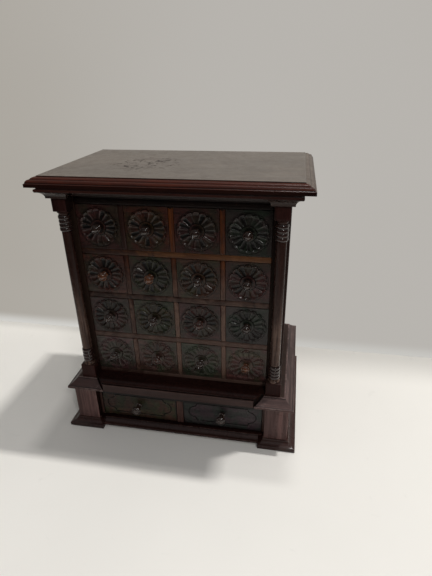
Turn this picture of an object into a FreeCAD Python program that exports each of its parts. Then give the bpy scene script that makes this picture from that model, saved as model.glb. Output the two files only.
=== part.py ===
import FreeCAD, Part
import math
import os

# A table-top cabinet of small drawers on a moulded base, in millimetres.
# +X is right, -Y is the front, +Z is up. The origin is on the floor, at the middle of the base.

# Drawer grid
grid_columns = 4
grid_rows = 4
cell_width = 94.0             # clear opening of one small drawer
cell_height = 92.0
head_row_extra = 5.0          # the highest row of drawers is taller by this
partition_thickness = 11.0
shelf_thickness = 13.0

# Case
stile_width = 33.5            # from the outside of the case to the first opening
stile_depth = 20.0
side_thickness = 12.0
back_thickness = 10.0
case_depth = 294.8            # from the front of the grid to the back of the case
frieze_height = 21.0
frieze_thickness = 14.0

# Corner columns, which stand in front of the case
column_reach = 27.6           # from the front of the grid to the front of the blocks
block_width = 31.0
capital_block_drop = 45.0     # height of the block over each column
plinth_block_width = 34.0
plinth_block_height = 35.0
shaft_radius_foot = 11.2
shaft_radius_head = 10.4
ring_radius = 13.2
neck_radius = 10.0
rings_per_end = 4
ring_height = 8.5
column_flare_height = 9.0
column_sides = 14

# Top and cornice
top_thickness = 20.0
top_field_overhang = 22.0     # from the side of the case to the edge of the flat field
top_edge_width = 19.5         # moulded edge outside the flat field
fascia_height = 4.4
fascia_reach = 21.5           # from the side of the case to the fascia
quirk_depth = 4.0
quirk_height = 2.8
cove_foot = 7.0
cove_height = 16.0

# Base
base_height = 115.0           # floor to the underside of the cap moulding
base_top_thickness = 22.0
post_width = 54.5
post_reach = 12.8             # from the front of the blocks to the front of the posts
post_offset = 2.0             # from the side of the grid to the inner faces of the posts
panel_thickness = 14.0
cap_width = 23.4
cap_fillet = 5.5
waist_drop = 3.5              # how far the waist moulding hangs below the cap moulding
waist_gap = 2.5
waist_bead_height = 9.5
waist_floor = 5.5             # height of the flat behind the bead
plinth_height = 21.0
plinth_front_width = 16.0
plinth_side_width = 20.0
plinth_return_width = 13.5
plinth_fillet = 8.5
rail_thickness = 16.0
rail_foot = 6.0               # gap between the floor and the bottom rail
rail_top = 21.0
rail_front = 8.0              # from the front of the bottom rail to the front of the posts
rail_moulding_width = 15.0
top_rail_height = 15.0
top_rail_depth = 20.0
base_floor_thickness = 12.0
muntin_width = 16.0
guide_width = 5.8
base_face = 17.0              # from the front of the posts to the front of the base drawers

# Drawers
gap_side = 0.6
gap_top = 1.0
gap_bottom = 0.3
gap_back = 3.0
face_setback = 1.0            # small drawer fronts stand this far behind the grid's front
front_thickness = 14.0
side_board = 7.0
bottom_board = 5.0
side_drop = 18.0              # sides are this much lower than the front
base_front_thickness = 16.0
base_side_board = 8.0
base_side_drop = 14.0

# Carved rosette on each small drawer
petals = 16
petal_radius = 40.4
petal_edge_radius = 36.4
petal_tip_share = 0.42        # share of a petal's width that its outer end takes
petal_hollow_radius = 30.0
petal_root_radius = 17.2
petal_edge = 2.7              # heights over the drawer front: the ridge between two petals,
petal_tip = 2.3               # the rim,
petal_hollow = 0.6            # the hollow in the middle
petal_root = 1.0              # and the groove round the boss
boss_radius = 15.8
boss_height = 3.2
carving_root = 1.0            # depth by which the carving joins the front

# Cut cartouche on each base drawer
cartouche_length = 164.0
cartouche_height = 52.0
cartouche_notch = 11.0
cartouche_end = 9.0
groove_width = 1.6
groove_depth = 1.2

# Knobs, as radius and distance from the seat
knob_sides = 12
knob_profile = [(7.5, 0.0), (7.5, 1.8), (3.8, 4.2), (3.8, 7.5), (9.6, 10.5), (10.2, 13.0),
                (8.6, 16.0), (3.0, 18.8)]
base_knob_profile = [(8.0, 0.0), (8.0, 2.2), (4.2, 5.0), (4.2, 13.5), (10.8, 17.5), (11.4, 20.5),
                     (9.4, 24.0), (3.2, 27.0)]

# Worked-out planes
grid_width = grid_columns * cell_width + (grid_columns - 1) * partition_thickness
case_width = grid_width + 2 * stile_width
case_half = case_width / 2
grid_half = grid_width / 2
back_y = (case_depth + column_reach) / 2
block_front = -back_y
grid_front = block_front + column_reach
back_inner = back_y - back_thickness
case_foot = base_height + base_top_thickness
shelf_pitch = cell_height + shelf_thickness
grid_head = case_foot + grid_rows * shelf_pitch + head_row_extra + shelf_thickness
case_head = grid_head + frieze_height
column_x = case_half - block_width / 2
column_y = block_front + column_reach / 2
post_inner = grid_half + post_offset
post_outer = post_inner + post_width
post_front = block_front - post_reach
base_front = post_front + base_face
base_back_inner = -post_front - panel_thickness
base_top_half = post_outer - post_reach
base_open_head = base_height - top_rail_height


def vector(x, y, z):
    return FreeCAD.Vector(x, y, z)


def board(x0, x1, y0, y1, z0, z1):
    return Part.makeBox(x1 - x0, y1 - y0, z1 - z0, vector(x0, y0, z0))


def outline(steps, to_space):
    """Closed wire. A step is (u, z), or (u, z, mid_u, mid_z) for an arc that ends at (u, z)."""
    edges = []
    here = to_space(*steps[0][:2])
    for step in steps[1:] + [steps[0][:2]]:
        end = to_space(*step[:2])
        if len(step) == 4:
            edges.append(Part.Arc(here, to_space(*step[2:]), end).toShape())
        else:
            edges.append(Part.LineSegment(here, end).toShape())
        here = end
    return Part.Wire(edges)


def prism(corners, z0, z1):
    """Upright prism over a list of plan corners."""
    wire = outline(corners, lambda x, y: vector(x, y, z0))
    return Part.Face(wire).extrude(vector(0, 0, z1 - z0))


def moulding(steps, run, slopes):
    """A length of moulding that faces -Y. u is the distance out from its back, and the run is
    measured at u = 0. A slope of 1 is an outside mitre, -1 an inside mitre and 0 a square end."""
    reach = [step[0] for step in steps]
    heights = [step[1] for step in steps]
    near, far = min(reach), max(reach)
    end = run / 2 + 2 * (far - near)
    bar = Part.Face(outline(steps, lambda u, z: vector(-end, -u, z)))
    bar = bar.extrude(vector(2 * end, 0, 0))
    left, right = slopes
    plan = [(run / 2, 0), (run / 2 + right * far, -far), (-run / 2 - left * far, -far), (-run / 2, 0)]
    if near < 0:
        plan += [(-run / 2, -near), (run / 2, -near)]
    return bar.common(prism(plan, min(heights) - 1, max(heights) + 1))


def placed(shape, turn, x, y, z=0.0):
    shape = shape.copy()
    shape.rotate(vector(0, 0, 0), vector(0, 0, 1), turn)
    shape.translate(vector(x, y, z))
    return shape


def pointing_out(shape):
    """What stood on z = 0 then stands on y = 0 and points to the front."""
    shape = shape.copy()
    shape.rotate(vector(0, 0, 0), vector(1, 0, 0), 90)
    return shape


def mirrored(shape):
    return shape.mirror(vector(0, 0, 0), vector(1, 0, 0))


def both_sides(shapes):
    return shapes + [mirrored(shape) for shape in shapes]


def both_edges(half, edge):
    """Full cross-section of a board from the edge on its right side, mirrored to the left."""
    right = [(half + step[0], step[1]) + ((half + step[2], step[3]) if len(step) == 4 else ())
             for step in edge]
    left = [(-right[-1][0], right[-1][1])]
    for here, back in zip(right[:0:-1], right[-2::-1]):
        left.append((-back[0], back[1]) + ((-here[2], here[3]) if len(here) == 4 else ()))
    return right + left


def moulded_board(half_x, half_y, edge):
    """Board with one moulding round all four edges, mitred at the corners. edge gives the steps
    as distances out from the half sizes, from the upper arris down."""
    spare = 1 + max(step[0] for step in edge)
    reach_x = half_x + spare
    reach_y = half_y + spare
    section_x = outline(both_edges(half_x, edge), lambda u, z: vector(u, -reach_y, z))
    section_y = outline(both_edges(half_y, edge), lambda u, z: vector(-reach_x, u, z))
    along_y = Part.Face(section_x).extrude(vector(0, 2 * reach_y, 0))
    along_x = Part.Face(section_y).extrude(vector(2 * reach_x, 0, 0))
    return along_y.common(along_x)


def flat_face(corners):
    return Part.Face(Part.makePolygon(corners + corners[:1]))


def closed_solid(faces):
    solid = Part.Solid(Part.Shell(faces))
    if solid.Volume < 0:
        solid.reverse()
    return solid


def turned(profile, sides):
    """Turned form along Z with narrow flats for its round, from (radius, z) pairs."""
    rings = []
    for radius, z in profile:
        angles = [2 * math.pi * (k + 0.5) / sides for k in range(sides)]
        rings.append([vector(radius * math.cos(a), radius * math.sin(a), z) for a in angles])
    faces = [flat_face(rings[0]), flat_face(rings[-1])]
    for low, high in zip(rings, rings[1:]):
        for k in range(sides):
            faces.append(flat_face([low[k - 1], low[k], high[k], high[k - 1]]))
    return closed_solid(faces)


# Top and cornice

def top_board():
    z0 = case_head + fascia_height + quirk_height
    z1 = z0 + top_thickness
    lip = top_edge_width
    edge = [(0, z1), (0, z1 - 1.6), (2.5, z1 - 1.6),
            (lip - 2.5, z1 - 10.5, 0.56 * lip, z1 - 5.3),
            (lip - 2.5, z1 - 12.0), (lip, z1 - 13.2), (lip, z0)]
    return moulded_board(case_half + top_field_overhang, back_y, edge)


def sub_top():
    z0 = case_head
    z1 = z0 + fascia_height
    edge = [(fascia_reach - quirk_depth, z1 + quirk_height), (fascia_reach - quirk_depth, z1),
            (fascia_reach, z1), (fascia_reach, z0)]
    return moulded_board(case_half, back_y, edge)


def cornice_steps():
    z0 = case_head - cove_height
    top = fascia_reach - 0.7
    return [(0, z0), (cove_foot, z0), (cove_foot, z0 + 3.5),
            (top, case_head - 1.5, cove_foot + 4.4, z0 + 10.5),
            (top, case_head), (0, case_head)]


def cornice_cove():
    steps = cornice_steps()
    front = placed(moulding(steps, block_width, (1, 1)), 0, column_x, block_front)
    inner_turn = placed(moulding(steps, column_reach, (-1, 1)), -90,
                        column_x - block_width / 2, column_y)
    side = placed(moulding(steps, 2 * back_y, (1, 1)), 90, case_half, 0)
    middle = placed(moulding(steps, 2 * column_x - block_width, (-1, -1)), 0, 0, grid_front)
    back = placed(moulding(steps, case_width, (1, 1)), 180, 0, back_y)
    return both_sides([front, inner_turn, side]) + [middle, back]


def frieze_rail():
    return board(-grid_half, grid_half, grid_front, grid_front + frieze_thickness,
                 grid_head, case_head)


# Columns

def capital_blocks():
    half = block_width / 2
    return both_sides([board(column_x - half, column_x + half, block_front, grid_front,
                             case_head - capital_block_drop, case_head)])


def column_plinths():
    half = plinth_block_width / 2
    return both_sides([board(column_x - half, column_x + half, block_front, grid_front,
                             case_foot, case_foot + plinth_block_height)])


def ring_stack(z):
    """Turned rings, one on another, from z upwards, as (radius, z) pairs."""
    pairs = []
    for k in range(rings_per_end):
        low = z + k * ring_height
        pairs += [(neck_radius, low), (ring_radius, low + 0.28 * ring_height),
                  (ring_radius, low + 0.72 * ring_height)]
    return pairs + [(neck_radius, z + rings_per_end * ring_height)]


def column(side):
    foot = case_foot + plinth_block_height
    head = case_head - capital_block_drop
    stack = rings_per_end * ring_height
    pairs = [(ring_radius, foot), (ring_radius, foot + 3.0)]
    pairs += ring_stack(foot + column_flare_height)
    pairs += [(shaft_radius_foot, foot + column_flare_height + stack + 2.5),
              (shaft_radius_head, head - column_flare_height - stack - 2.5)]
    pairs += ring_stack(head - column_flare_height - stack)
    pairs += [(ring_radius, head - 3.0), (ring_radius, head)]
    return placed(turned(pairs, column_sides), 0, side * column_x, column_y)


# Case

def side_panel(side):
    panel = board(case_half - side_thickness, case_half, grid_front, back_y, case_foot, case_head)
    return panel if side > 0 else mirrored(panel)


def face_stiles():
    return both_sides([board(grid_half, case_half - side_thickness, grid_front,
                             grid_front + stile_depth, case_foot, case_head)])


def back_panel():
    half = case_half - side_thickness
    return board(-half, half, back_inner, back_y, case_foot, case_head)


def row_height(row):
    """Clear height of a row of small drawers. Row 1 is the highest."""
    return cell_height + (head_row_extra if row == 1 else 0)


def row_floor(row):
    """Top of the shelf on which a row stands."""
    return case_foot + (grid_rows - row) * shelf_pitch + shelf_thickness


def drawer_shelves():
    """Full-width boards, notched round the stiles. The lowest is the case's bottom."""
    wide = case_half - side_thickness
    behind = grid_front + stile_depth
    plan = [(-grid_half, grid_front), (grid_half, grid_front), (grid_half, behind), (wide, behind),
            (wide, back_inner), (-wide, back_inner), (-wide, behind), (-grid_half, behind)]
    boards = []
    tops = [row_floor(row) for row in range(grid_rows, 0, -1)] + [grid_head]
    for top in tops:
        boards.append(prism(plan, top - shelf_thickness, top))
    return boards


def drawer_partitions():
    """Upright boards between the shelves. The outer ones guide the end drawers behind the stiles."""
    boards = []
    for row in range(1, grid_rows + 1):
        z = row_floor(row)
        for k in range(grid_columns + 1):
            x = -grid_half - partition_thickness + k * (cell_width + partition_thickness)
            outer = k in (0, grid_columns)
            front = grid_front + (stile_depth if outer else 0)
            boards.append(board(x, x + partition_thickness, front, back_inner,
                                z, z + row_height(row)))
    return boards


# Base

def base_posts():
    back = -post_front - post_width
    front_post = board(post_inner, post_outer, post_front, post_front + post_width, 0, base_height)
    back_post = board(post_inner, post_outer, back, back + post_width, 0, base_height)
    return both_sides([front_post, back_post])


def base_side_panels():
    end = -post_front - post_width
    return both_sides([board(post_outer - panel_thickness, post_outer, -end, end,
                             rail_foot, base_height)])


def base_back_panel():
    return board(-post_inner, post_inner, base_back_inner, -post_front, rail_foot, base_height)


def base_top():
    return board(-base_top_half, base_top_half, -back_y, back_y, base_height, case_foot)


def cap_steps():
    return [(0, base_height), (cap_width, base_height), (cap_width, base_height + cap_fillet),
            (cap_width - 2.6, base_height + cap_fillet),
            (3.6, case_foot - 1.8, 10.0, case_foot - 7.6), (3.6, case_foot), (0, case_foot)]


def base_cap_moulding():
    steps = cap_steps()
    inner = column_x - plinth_block_width / 2
    front = placed(moulding(steps, base_top_half - inner, (1, 1)), 0,
                   (base_top_half + inner) / 2, -back_y)
    side = placed(moulding(steps, 2 * back_y, (1, 1)), 90, base_top_half, 0)
    back = placed(moulding(steps, 2 * base_top_half, (1, 1)), 180, 0, back_y)
    return both_sides([front, side]) + [back]


def waist_moulding():
    """Fascia and bead over the base drawers, with a flat that runs back to the grid."""
    low = base_height - waist_drop
    bead = case_foot + waist_bead_height
    flat = case_foot + waist_floor
    out = cap_width - 0.6
    steps = [(0, low), (out, low), (out, case_foot), (out - 3.5, case_foot),
             (out - 3.5, case_foot + 1.5), (6.0, bead, out - 6.8, bead - 2.4), (4.0, bead),
             (4.0, flat), (-column_reach, flat), (-column_reach, case_foot), (0, case_foot)]
    run = 2 * (column_x - plinth_block_width / 2 - waist_gap)
    return placed(moulding(steps, run, (-1, -1)), 0, 0, block_front)


def plinth_steps(width):
    return [(0, 0), (width, 0), (width, plinth_fillet), (0.84 * width, plinth_fillet + 1.2),
            (0.16 * width, plinth_height - 2.0, 0.4 * width, plinth_fillet + 4.6),
            (0.16 * width, plinth_height), (0, plinth_height)]


def plinth_moulding():
    front = placed(moulding(plinth_steps(plinth_front_width), post_width,
                            (plinth_return_width / plinth_front_width,
                             plinth_side_width / plinth_front_width)),
                   0, (post_inner + post_outer) / 2, post_front)
    turn = placed(moulding(plinth_steps(plinth_return_width), rail_front,
                           (0, plinth_front_width / plinth_return_width)),
                  -90, post_inner, post_front + rail_front / 2)
    side_slope = plinth_front_width / plinth_side_width
    side = placed(moulding(plinth_steps(plinth_side_width), -2 * post_front,
                           (side_slope, side_slope)), 90, post_outer, 0)
    back_slope = plinth_side_width / plinth_front_width
    back = placed(moulding(plinth_steps(plinth_front_width), 2 * post_outer,
                           (back_slope, back_slope)), 180, 0, -post_front)
    return both_sides([front, turn, side]) + [back]


def base_rails():
    """Bottom rail, its planted moulding, and the rail over the base drawers."""
    front = post_front + rail_front
    rail = board(-post_inner, post_inner, front, front + rail_thickness, rail_foot, rail_top)
    steps = [(0, rail_foot), (rail_moulding_width, rail_foot),
             (rail_moulding_width, rail_foot + 5.5), (rail_moulding_width - 2.5, rail_foot + 5.5),
             (2.0, rail_top - 2.0, rail_moulding_width - 9.0, rail_foot + 8.6),
             (2.0, rail_top), (0, rail_top)]
    run = 2 * (post_inner - plinth_return_width)
    strip = placed(moulding(steps, run, (0, 0)), 0, 0, front)
    top_rail = board(-post_inner, post_inner, base_front, base_front + top_rail_depth,
                     base_open_head, base_height)
    return [rail, strip, top_rail]


def base_floor():
    front = post_front + rail_front + rail_thickness
    return board(-post_inner, post_inner, front, base_back_inner,
                 rail_top - base_floor_thickness, rail_top)


def base_dividers():
    """Middle partition, notched under the top rail, and the guides beside the posts."""
    behind = base_front + top_rail_depth
    steps = [(base_front, rail_top), (base_back_inner, rail_top), (base_back_inner, base_height),
             (behind, base_height), (behind, base_open_head), (base_front, base_open_head)]
    wire = outline(steps, lambda y, z: vector(-muntin_width / 2, y, z))
    middle = Part.Face(wire).extrude(vector(muntin_width, 0, 0))
    guide = board(post_inner - guide_width, post_inner, base_front, base_back_inner,
                  rail_top, base_open_head)
    return [middle] + both_sides([guide])


# Drawers, made with the front's face on y = 0, the middle on x = 0 and the underside on z = 0

def drawer_box(width, height, length, front_board, side, drop):
    """Sides, back and bottom of a drawer, behind its front board."""
    head = height - drop
    half = width / 2
    bottom = board(-half, half, front_board, length, 0, bottom_board)
    left = board(-half, -half + side, front_board, length, bottom_board, head)
    back = board(-half + side, half - side, length - side, length, bottom_board, head)
    return [bottom, left, mirrored(left), back]


def rosette():
    """Ring of hollowed petals with ridges between them, round a flat boss. It stands on y = 0."""
    def point(radius, height, half_steps):
        angle = math.pi * half_steps / petals
        return vector(radius * math.cos(angle), -height, radius * math.sin(angle))

    faces = []
    boss = []
    root = []
    for k in range(0, 2 * petals, 2):
        hollow = point(petal_hollow_radius, petal_hollow, k)
        middle_root = point(petal_root_radius, petal_root, k)
        rim = [(petal_edge_radius, petal_edge, k - 1),
               (petal_radius, petal_tip, k - petal_tip_share),
               (petal_radius, petal_tip, k + petal_tip_share),
               (petal_edge_radius, petal_edge, k + 1)]
        high = [point(radius, height, step) for radius, height, step in rim]
        low = [point(radius, -carving_root, step) for radius, height, step in rim]
        for n in range(3):
            faces.append(flat_face([hollow, high[n], high[n + 1]]))
            faces.append(flat_face([high[n], low[n], low[n + 1], high[n + 1]]))
        boss_edges = []
        for side, edge in ((-1, high[0]), (1, high[3])):
            edge_root = point(petal_root_radius, petal_root + 0.4, k + side)
            boss_edges.append(point(boss_radius, boss_height, k + side))
            faces.append(flat_face([middle_root, hollow, edge_root]))
            faces.append(flat_face([hollow, edge, edge_root]))
            faces.append(flat_face([boss_edges[-1], middle_root, edge_root]))
        faces.append(flat_face(boss_edges + [middle_root]))
        boss.append(boss_edges[1])
        root += low[1:]
    return closed_solid(faces + [flat_face(boss), flat_face(root)])


def small_drawer(row):
    width = cell_width - 2 * gap_side
    height = row_height(row) - gap_top - gap_bottom
    front = board(-width / 2, width / 2, 0, front_thickness, 0, height)
    carving = placed(rosette(), 0, 0, 0, height / 2)
    front = front.fuse(carving).removeSplitter()
    length = back_inner - gap_back - grid_front - face_setback
    return [front] + drawer_box(width, height, length, front_thickness, side_board, side_drop)


def cartouche_outline(grow, y, z):
    """Long panel outline with notched corners and bowed ends, grown by an offset."""
    half = cartouche_length / 2
    top = cartouche_height / 2
    shoulder = half - cartouche_end - cartouche_notch
    notch_x = half - cartouche_end
    notch = cartouche_notch - grow
    lean = notch * math.sqrt(0.5)
    right = [(shoulder + grow, top + grow),
             (notch_x, top - notch, notch_x - lean, top - lean),
             (notch_x, notch - top, half + grow, 0),
             (shoulder + grow, -top - grow, notch_x - lean, lean - top)]
    left = [(-shoulder - grow, -top - grow),
            (-notch_x, notch - top, lean - notch_x, lean - top),
            (-notch_x, top - notch, -half - grow, 0),
            (-shoulder - grow, top + grow, lean - notch_x, top - lean)]
    return outline(right + left, lambda u, v: vector(u, y, z + v))


def base_drawer():
    opening = post_inner - guide_width - muntin_width / 2
    width = opening - 2 * gap_side
    height = base_open_head - rail_top - gap_top - gap_bottom
    front = board(-width / 2, width / 2, 0, base_front_thickness, 0, height)
    outer = cartouche_outline(groove_width / 2, 0, height / 2)
    inner = cartouche_outline(-groove_width / 2, 0, height / 2)
    groove = Part.Face(outer).cut(Part.Face(inner)).extrude(vector(0, groove_depth, 0))
    front = front.cut(groove)
    length = base_back_inner - gap_back - base_front
    return [front] + drawer_box(width, height, length, base_front_thickness,
                                base_side_board, base_side_drop)


def group(shapes):
    return Part.makeCompound([solid for shape in shapes for solid in shape.Solids])


def drawers_and_knobs():
    """Every drawer and knob at its place, as a dictionary of node name and shape."""
    nodes = {}
    knob = pointing_out(turned(knob_profile, knob_sides))
    face = grid_front + face_setback
    for row in range(1, grid_rows + 1):
        box = group(small_drawer(row))
        middle = (row_height(row) - gap_top - gap_bottom) / 2
        floor = row_floor(row) + gap_bottom
        for col in range(grid_columns):
            x = -grid_half + cell_width / 2 + col * (cell_width + partition_thickness)
            name = "r%dc%d" % (row, col + 1)
            nodes["drawer_" + name] = placed(box, 0, x, face, floor)
            nodes["knob_" + name] = placed(knob, 0, x, face - boss_height, floor + middle)
    box = group(base_drawer())
    knob = pointing_out(turned(base_knob_profile, knob_sides))
    middle = (base_open_head - rail_top - gap_top - gap_bottom) / 2
    offset = (post_inner - guide_width + muntin_width / 2) / 2
    for name, side in (("left", -1), ("right", 1)):
        floor = rail_top + gap_bottom
        nodes["base_drawer_" + name] = placed(box, 0, side * offset, base_front, floor)
        nodes["base_knob_" + name] = placed(knob, 0, side * offset, base_front, floor + middle)
    return nodes


def cabinet():
    nodes = {
        "top_board": top_board(),
        "sub_top": sub_top(),
        "cornice_cove": group(cornice_cove()),
        "frieze_rail": frieze_rail(),
        "capital_blocks": group(capital_blocks()),
        "left_column": column(-1),
        "right_column": column(1),
        "column_plinths": group(column_plinths()),
        "left_side_panel": side_panel(-1),
        "right_side_panel": side_panel(1),
        "face_stiles": group(face_stiles()),
        "back_panel": back_panel(),
        "drawer_shelves": group(drawer_shelves()),
        "drawer_partitions": group(drawer_partitions()),
        "base_top": base_top(),
        "base_cap_moulding": group(base_cap_moulding()),
        "waist_moulding": waist_moulding(),
        "base_posts": group(base_posts()),
        "base_side_panels": group(base_side_panels()),
        "base_back_panel": base_back_panel(),
        "base_dividers": group(base_dividers()),
        "base_rails": group(base_rails()),
        "base_floor": base_floor(),
        "plinth_moulding": group(plinth_moulding()),
    }
    nodes.update(drawers_and_knobs())
    return nodes


os.makedirs("parts", exist_ok=True)
for node, shape in cabinet().items():
    shape.exportStep("parts/%s.step" % node)
    print("%-22s %2d solids %9.0f mm3 valid %s" % (node, len(shape.Solids), shape.Volume,
                                                  shape.isValid()))
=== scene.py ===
import math

import bmesh
import bpy
from mathutils import Matrix, Vector


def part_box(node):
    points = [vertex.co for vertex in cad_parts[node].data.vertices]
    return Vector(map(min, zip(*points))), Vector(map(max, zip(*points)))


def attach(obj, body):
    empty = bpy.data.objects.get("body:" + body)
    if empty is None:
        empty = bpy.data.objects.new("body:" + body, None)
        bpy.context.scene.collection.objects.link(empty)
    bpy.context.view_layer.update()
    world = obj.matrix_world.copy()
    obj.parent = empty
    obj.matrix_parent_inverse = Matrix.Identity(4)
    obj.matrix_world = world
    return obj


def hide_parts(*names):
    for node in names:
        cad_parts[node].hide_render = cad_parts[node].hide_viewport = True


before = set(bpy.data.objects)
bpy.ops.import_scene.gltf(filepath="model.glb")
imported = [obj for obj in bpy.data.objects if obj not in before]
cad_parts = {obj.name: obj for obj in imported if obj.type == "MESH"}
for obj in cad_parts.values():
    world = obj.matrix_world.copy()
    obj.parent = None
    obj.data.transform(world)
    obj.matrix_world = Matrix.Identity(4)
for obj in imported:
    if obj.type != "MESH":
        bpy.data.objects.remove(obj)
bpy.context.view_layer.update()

mm = 0.001
wearName = "edgeWear"      # 1 on an arris that hands and cloths rub, 0 on a flat
dirtName = "grooveDirt"    # 1 in a groove that keeps wax and dirt
tintName = "drawerStain"   # the stain of a drawer or a knob
bareName = "bareWood"      # how far the stain of a divider or a shaft is rubbed away


def span(nodeName):
    low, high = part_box(nodeName)
    return low / mm, high / mm


# Node helpers, for shader and geometry trees alike

def addNode(tree, kind, settings=None, inputs=None):
    node = tree.nodes.new(kind)
    for key, value in (settings or {}).items():
        setattr(node, key, value)
    for key, value in (inputs or {}).items():
        if isinstance(value, bpy.types.NodeSocket):
            tree.links.new(value, node.inputs[key])
        else:
            node.inputs[key].default_value = value
    return node


socketKinds = {float: "Float", int: "Int", tuple: "Vector"}


def newGroup(name, treeKind, inputs, outputs):
    # An input is listed with its first value, or with the name of its kind where it has no value
    tree = bpy.data.node_groups.new(name, treeKind)
    for label, value in inputs.items():
        kind = value if isinstance(value, str) else socketKinds[type(value)]
        socket = tree.interface.new_socket(label, in_out="INPUT", socket_type="NodeSocket" + kind)
        if kind != value:
            socket.default_value = value
    kind = "NodeSocketGeometry" if treeKind == "GeometryNodeTree" else "NodeSocketFloat"
    for label in outputs:
        tree.interface.new_socket(label, in_out="OUTPUT", socket_type=kind)
    return tree, tree.nodes.new("NodeGroupInput").outputs, tree.nodes.new("NodeGroupOutput").inputs


def giveOut(tree, result, **sockets):
    for label, socket in sockets.items():
        tree.links.new(socket, result[label])
    return tree


def mathNode(tree, operation, first, second=0.0, clamp=False):
    return addNode(tree, "ShaderNodeMath", {"operation": operation, "use_clamp": clamp},
                   {0: first, 1: second}).outputs[0]


def times(tree, first, second, clamp=False):
    return mathNode(tree, "MULTIPLY", first, second, clamp)


def plus(tree, first, second, clamp=False):
    return mathNode(tree, "ADD", first, second, clamp)


def minus(tree, first, second):
    return mathNode(tree, "SUBTRACT", first, second)


def swing(tree, noise, reach):     # turns a noise about 0.5 into one about 0
    return times(tree, minus(tree, noise, 0.5), reach)


def vectorNode(tree, operation, first, second=(0.0, 0.0, 0.0), output=0):
    return addNode(tree, "ShaderNodeVectorMath", {"operation": operation},
                   {0: first, 1: second}).outputs[output]


def combine(tree, x=0.0, y=0.0, z=0.0):
    return addNode(tree, "ShaderNodeCombineXYZ", {}, {0: x, 1: y, 2: z}).outputs[0]


def axisOf(tree, vector, axis):
    return addNode(tree, "ShaderNodeSeparateXYZ", {}, {0: vector}).outputs[axis]


def rangeNode(tree, value, low, high, toLow=0.0, toHigh=1.0, smooth=True):
    kind = "SMOOTHSTEP" if smooth else "LINEAR"
    return addNode(tree, "ShaderNodeMapRange", {"interpolation_type": kind},
                   {"Value": value, "From Min": low, "From Max": high,
                    "To Min": toLow, "To Max": toHigh}).outputs["Result"]


def mixColour(tree, share, first, second, blend="MIX"):
    first, second = ((*value, 1.0) if isinstance(value, tuple) else value for value in (first, second))
    return addNode(tree, "ShaderNodeMix", {"data_type": "RGBA", "blend_type": blend},
                   {0: share, 6: first, 7: second}).outputs[2]


def noiseNode(tree, vector, scale, detail=4.0, roughness=0.55, distortion=0.0):
    return addNode(tree, "ShaderNodeTexNoise", {},
                   {"Vector": vector, "Scale": scale, "Detail": detail, "Roughness": roughness,
                    "Distortion": distortion}).outputs["Fac"]


# Each pattern: the scale, detail, roughness and distortion of its noise, and where it starts and is full
patterns = {
    "Figure": ((26.0, 5.0, 0.6, 1.2), (0.37, 0.63)), "Streaks": ((190.0, 4.0, 0.62, 0.3), (0.39, 0.61)),
    "Pores": ((900.0, 2.0, 0.5), (0.56, 0.7)), "Blotch": ((9.0, 4.0, 0.55, 0.4), (0.34, 0.66)),
    "Smudge": ((45.0, 5.0, 0.65, 0.8), (0.3, 0.7)), "hueDrift": ((26.0, 4.0, 0.65, 0.4), (0.4, 0.6)),
    "flecks": ((150.0, 3.0, 0.7), (0.36, 0.64)), "smears": ((52.0, 4.0, 0.6, 1.6), (0.54, 0.62)),
    "clouds": ((2.2, 3.0, 0.5), (0.3, 0.7)), "scuffs": ((26.0, 6.0, 0.7, 0.6), (0.62, 0.72)),
    "wallClouds": ((1.6, 2.0, 0.5), (0.3, 0.7)),
}


def pattern(tree, place, name, scale=None):
    (usualScale, *shape), reach = patterns[name]
    return rangeNode(tree, noiseNode(tree, place, scale or usualScale, *shape), *reach)


def objectPlace(tree):
    return addNode(tree, "ShaderNodeTexCoord").outputs["Object"]


def attributeNode(tree, name, output="Fac"):
    return addNode(tree, "ShaderNodeAttribute", {"attribute_name": name}).outputs[output]


# Effects that the finishes share

def makeGrainGroup():
    layers = ["Figure", "Streaks", "Pores"]
    scales = {name + " Scale": patterns[name][0][0] for name in layers}
    tree, given, result = newGroup(
        "woodGrain", "ShaderNodeTree", {"Stretch": (0.06, 1.0, 1.0), "Shift": 0.0, **scales},
        [*layers, "Height"])
    along = vectorNode(tree, "ADD", objectPlace(tree), given["Shift"])
    along = vectorNode(tree, "MULTIPLY", along, given["Stretch"])
    made = {name: pattern(tree, along, name, given[name + " Scale"]) for name in layers}
    height = minus(tree, times(tree, made["Streaks"], 0.5), made["Pores"])
    return giveOut(tree, result, **made, Height=height)


def makeWearGroup():
    tree, given, result = newGroup(
        "edgeWear", "ShaderNodeTree", {"Amount": 0.6, "Breakup Scale": 90.0, "Groove Dirt": 1.0},
        ["Worn", "Dirty"])
    place = objectPlace(tree)
    patches = noiseNode(tree, place, given["Breakup Scale"], 5.0, 0.65)
    broad = noiseNode(tree, place, 14.0, 2.0, 0.5)
    edge, groove = attributeNode(tree, wearName), attributeNode(tree, dirtName)
    broken = plus(tree, times(tree, edge, given["Amount"]), swing(tree, patches, 1.1))
    broken = plus(tree, broken, swing(tree, broad, 0.5))
    kept = plus(tree, groove, swing(tree, patches, 0.6))
    worn = times(tree, rangeNode(tree, broken, 0.34, 0.78), rangeNode(tree, edge, 0.02, 0.5))
    dirty = times(tree, rangeNode(tree, kept, 0.25, 0.8), given["Groove Dirt"])
    return giveOut(tree, result, Worn=worn, Dirty=dirty)


def makeAgeGroup():
    tree, given, result = newGroup("handlingAge", "ShaderNodeTree", {"Dust": 0.4},
                                   ["Blotch", "Dusty", "Smudge"])
    place = objectPlace(tree)
    made = {name: pattern(tree, place, name) for name in ("Blotch", "Smudge")}
    facing = axisOf(tree, addNode(tree, "ShaderNodeNewGeometry").outputs["Normal"], "Z")
    film = rangeNode(tree, noiseNode(tree, place, 30.0, 6.0, 0.6), 0.2, 0.75, 0.45, 1.0)
    dusty = times(tree, times(tree, rangeNode(tree, facing, 0.25, 0.95), film), given["Dust"])
    return giveOut(tree, result, **made, Dusty=dusty)


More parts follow.
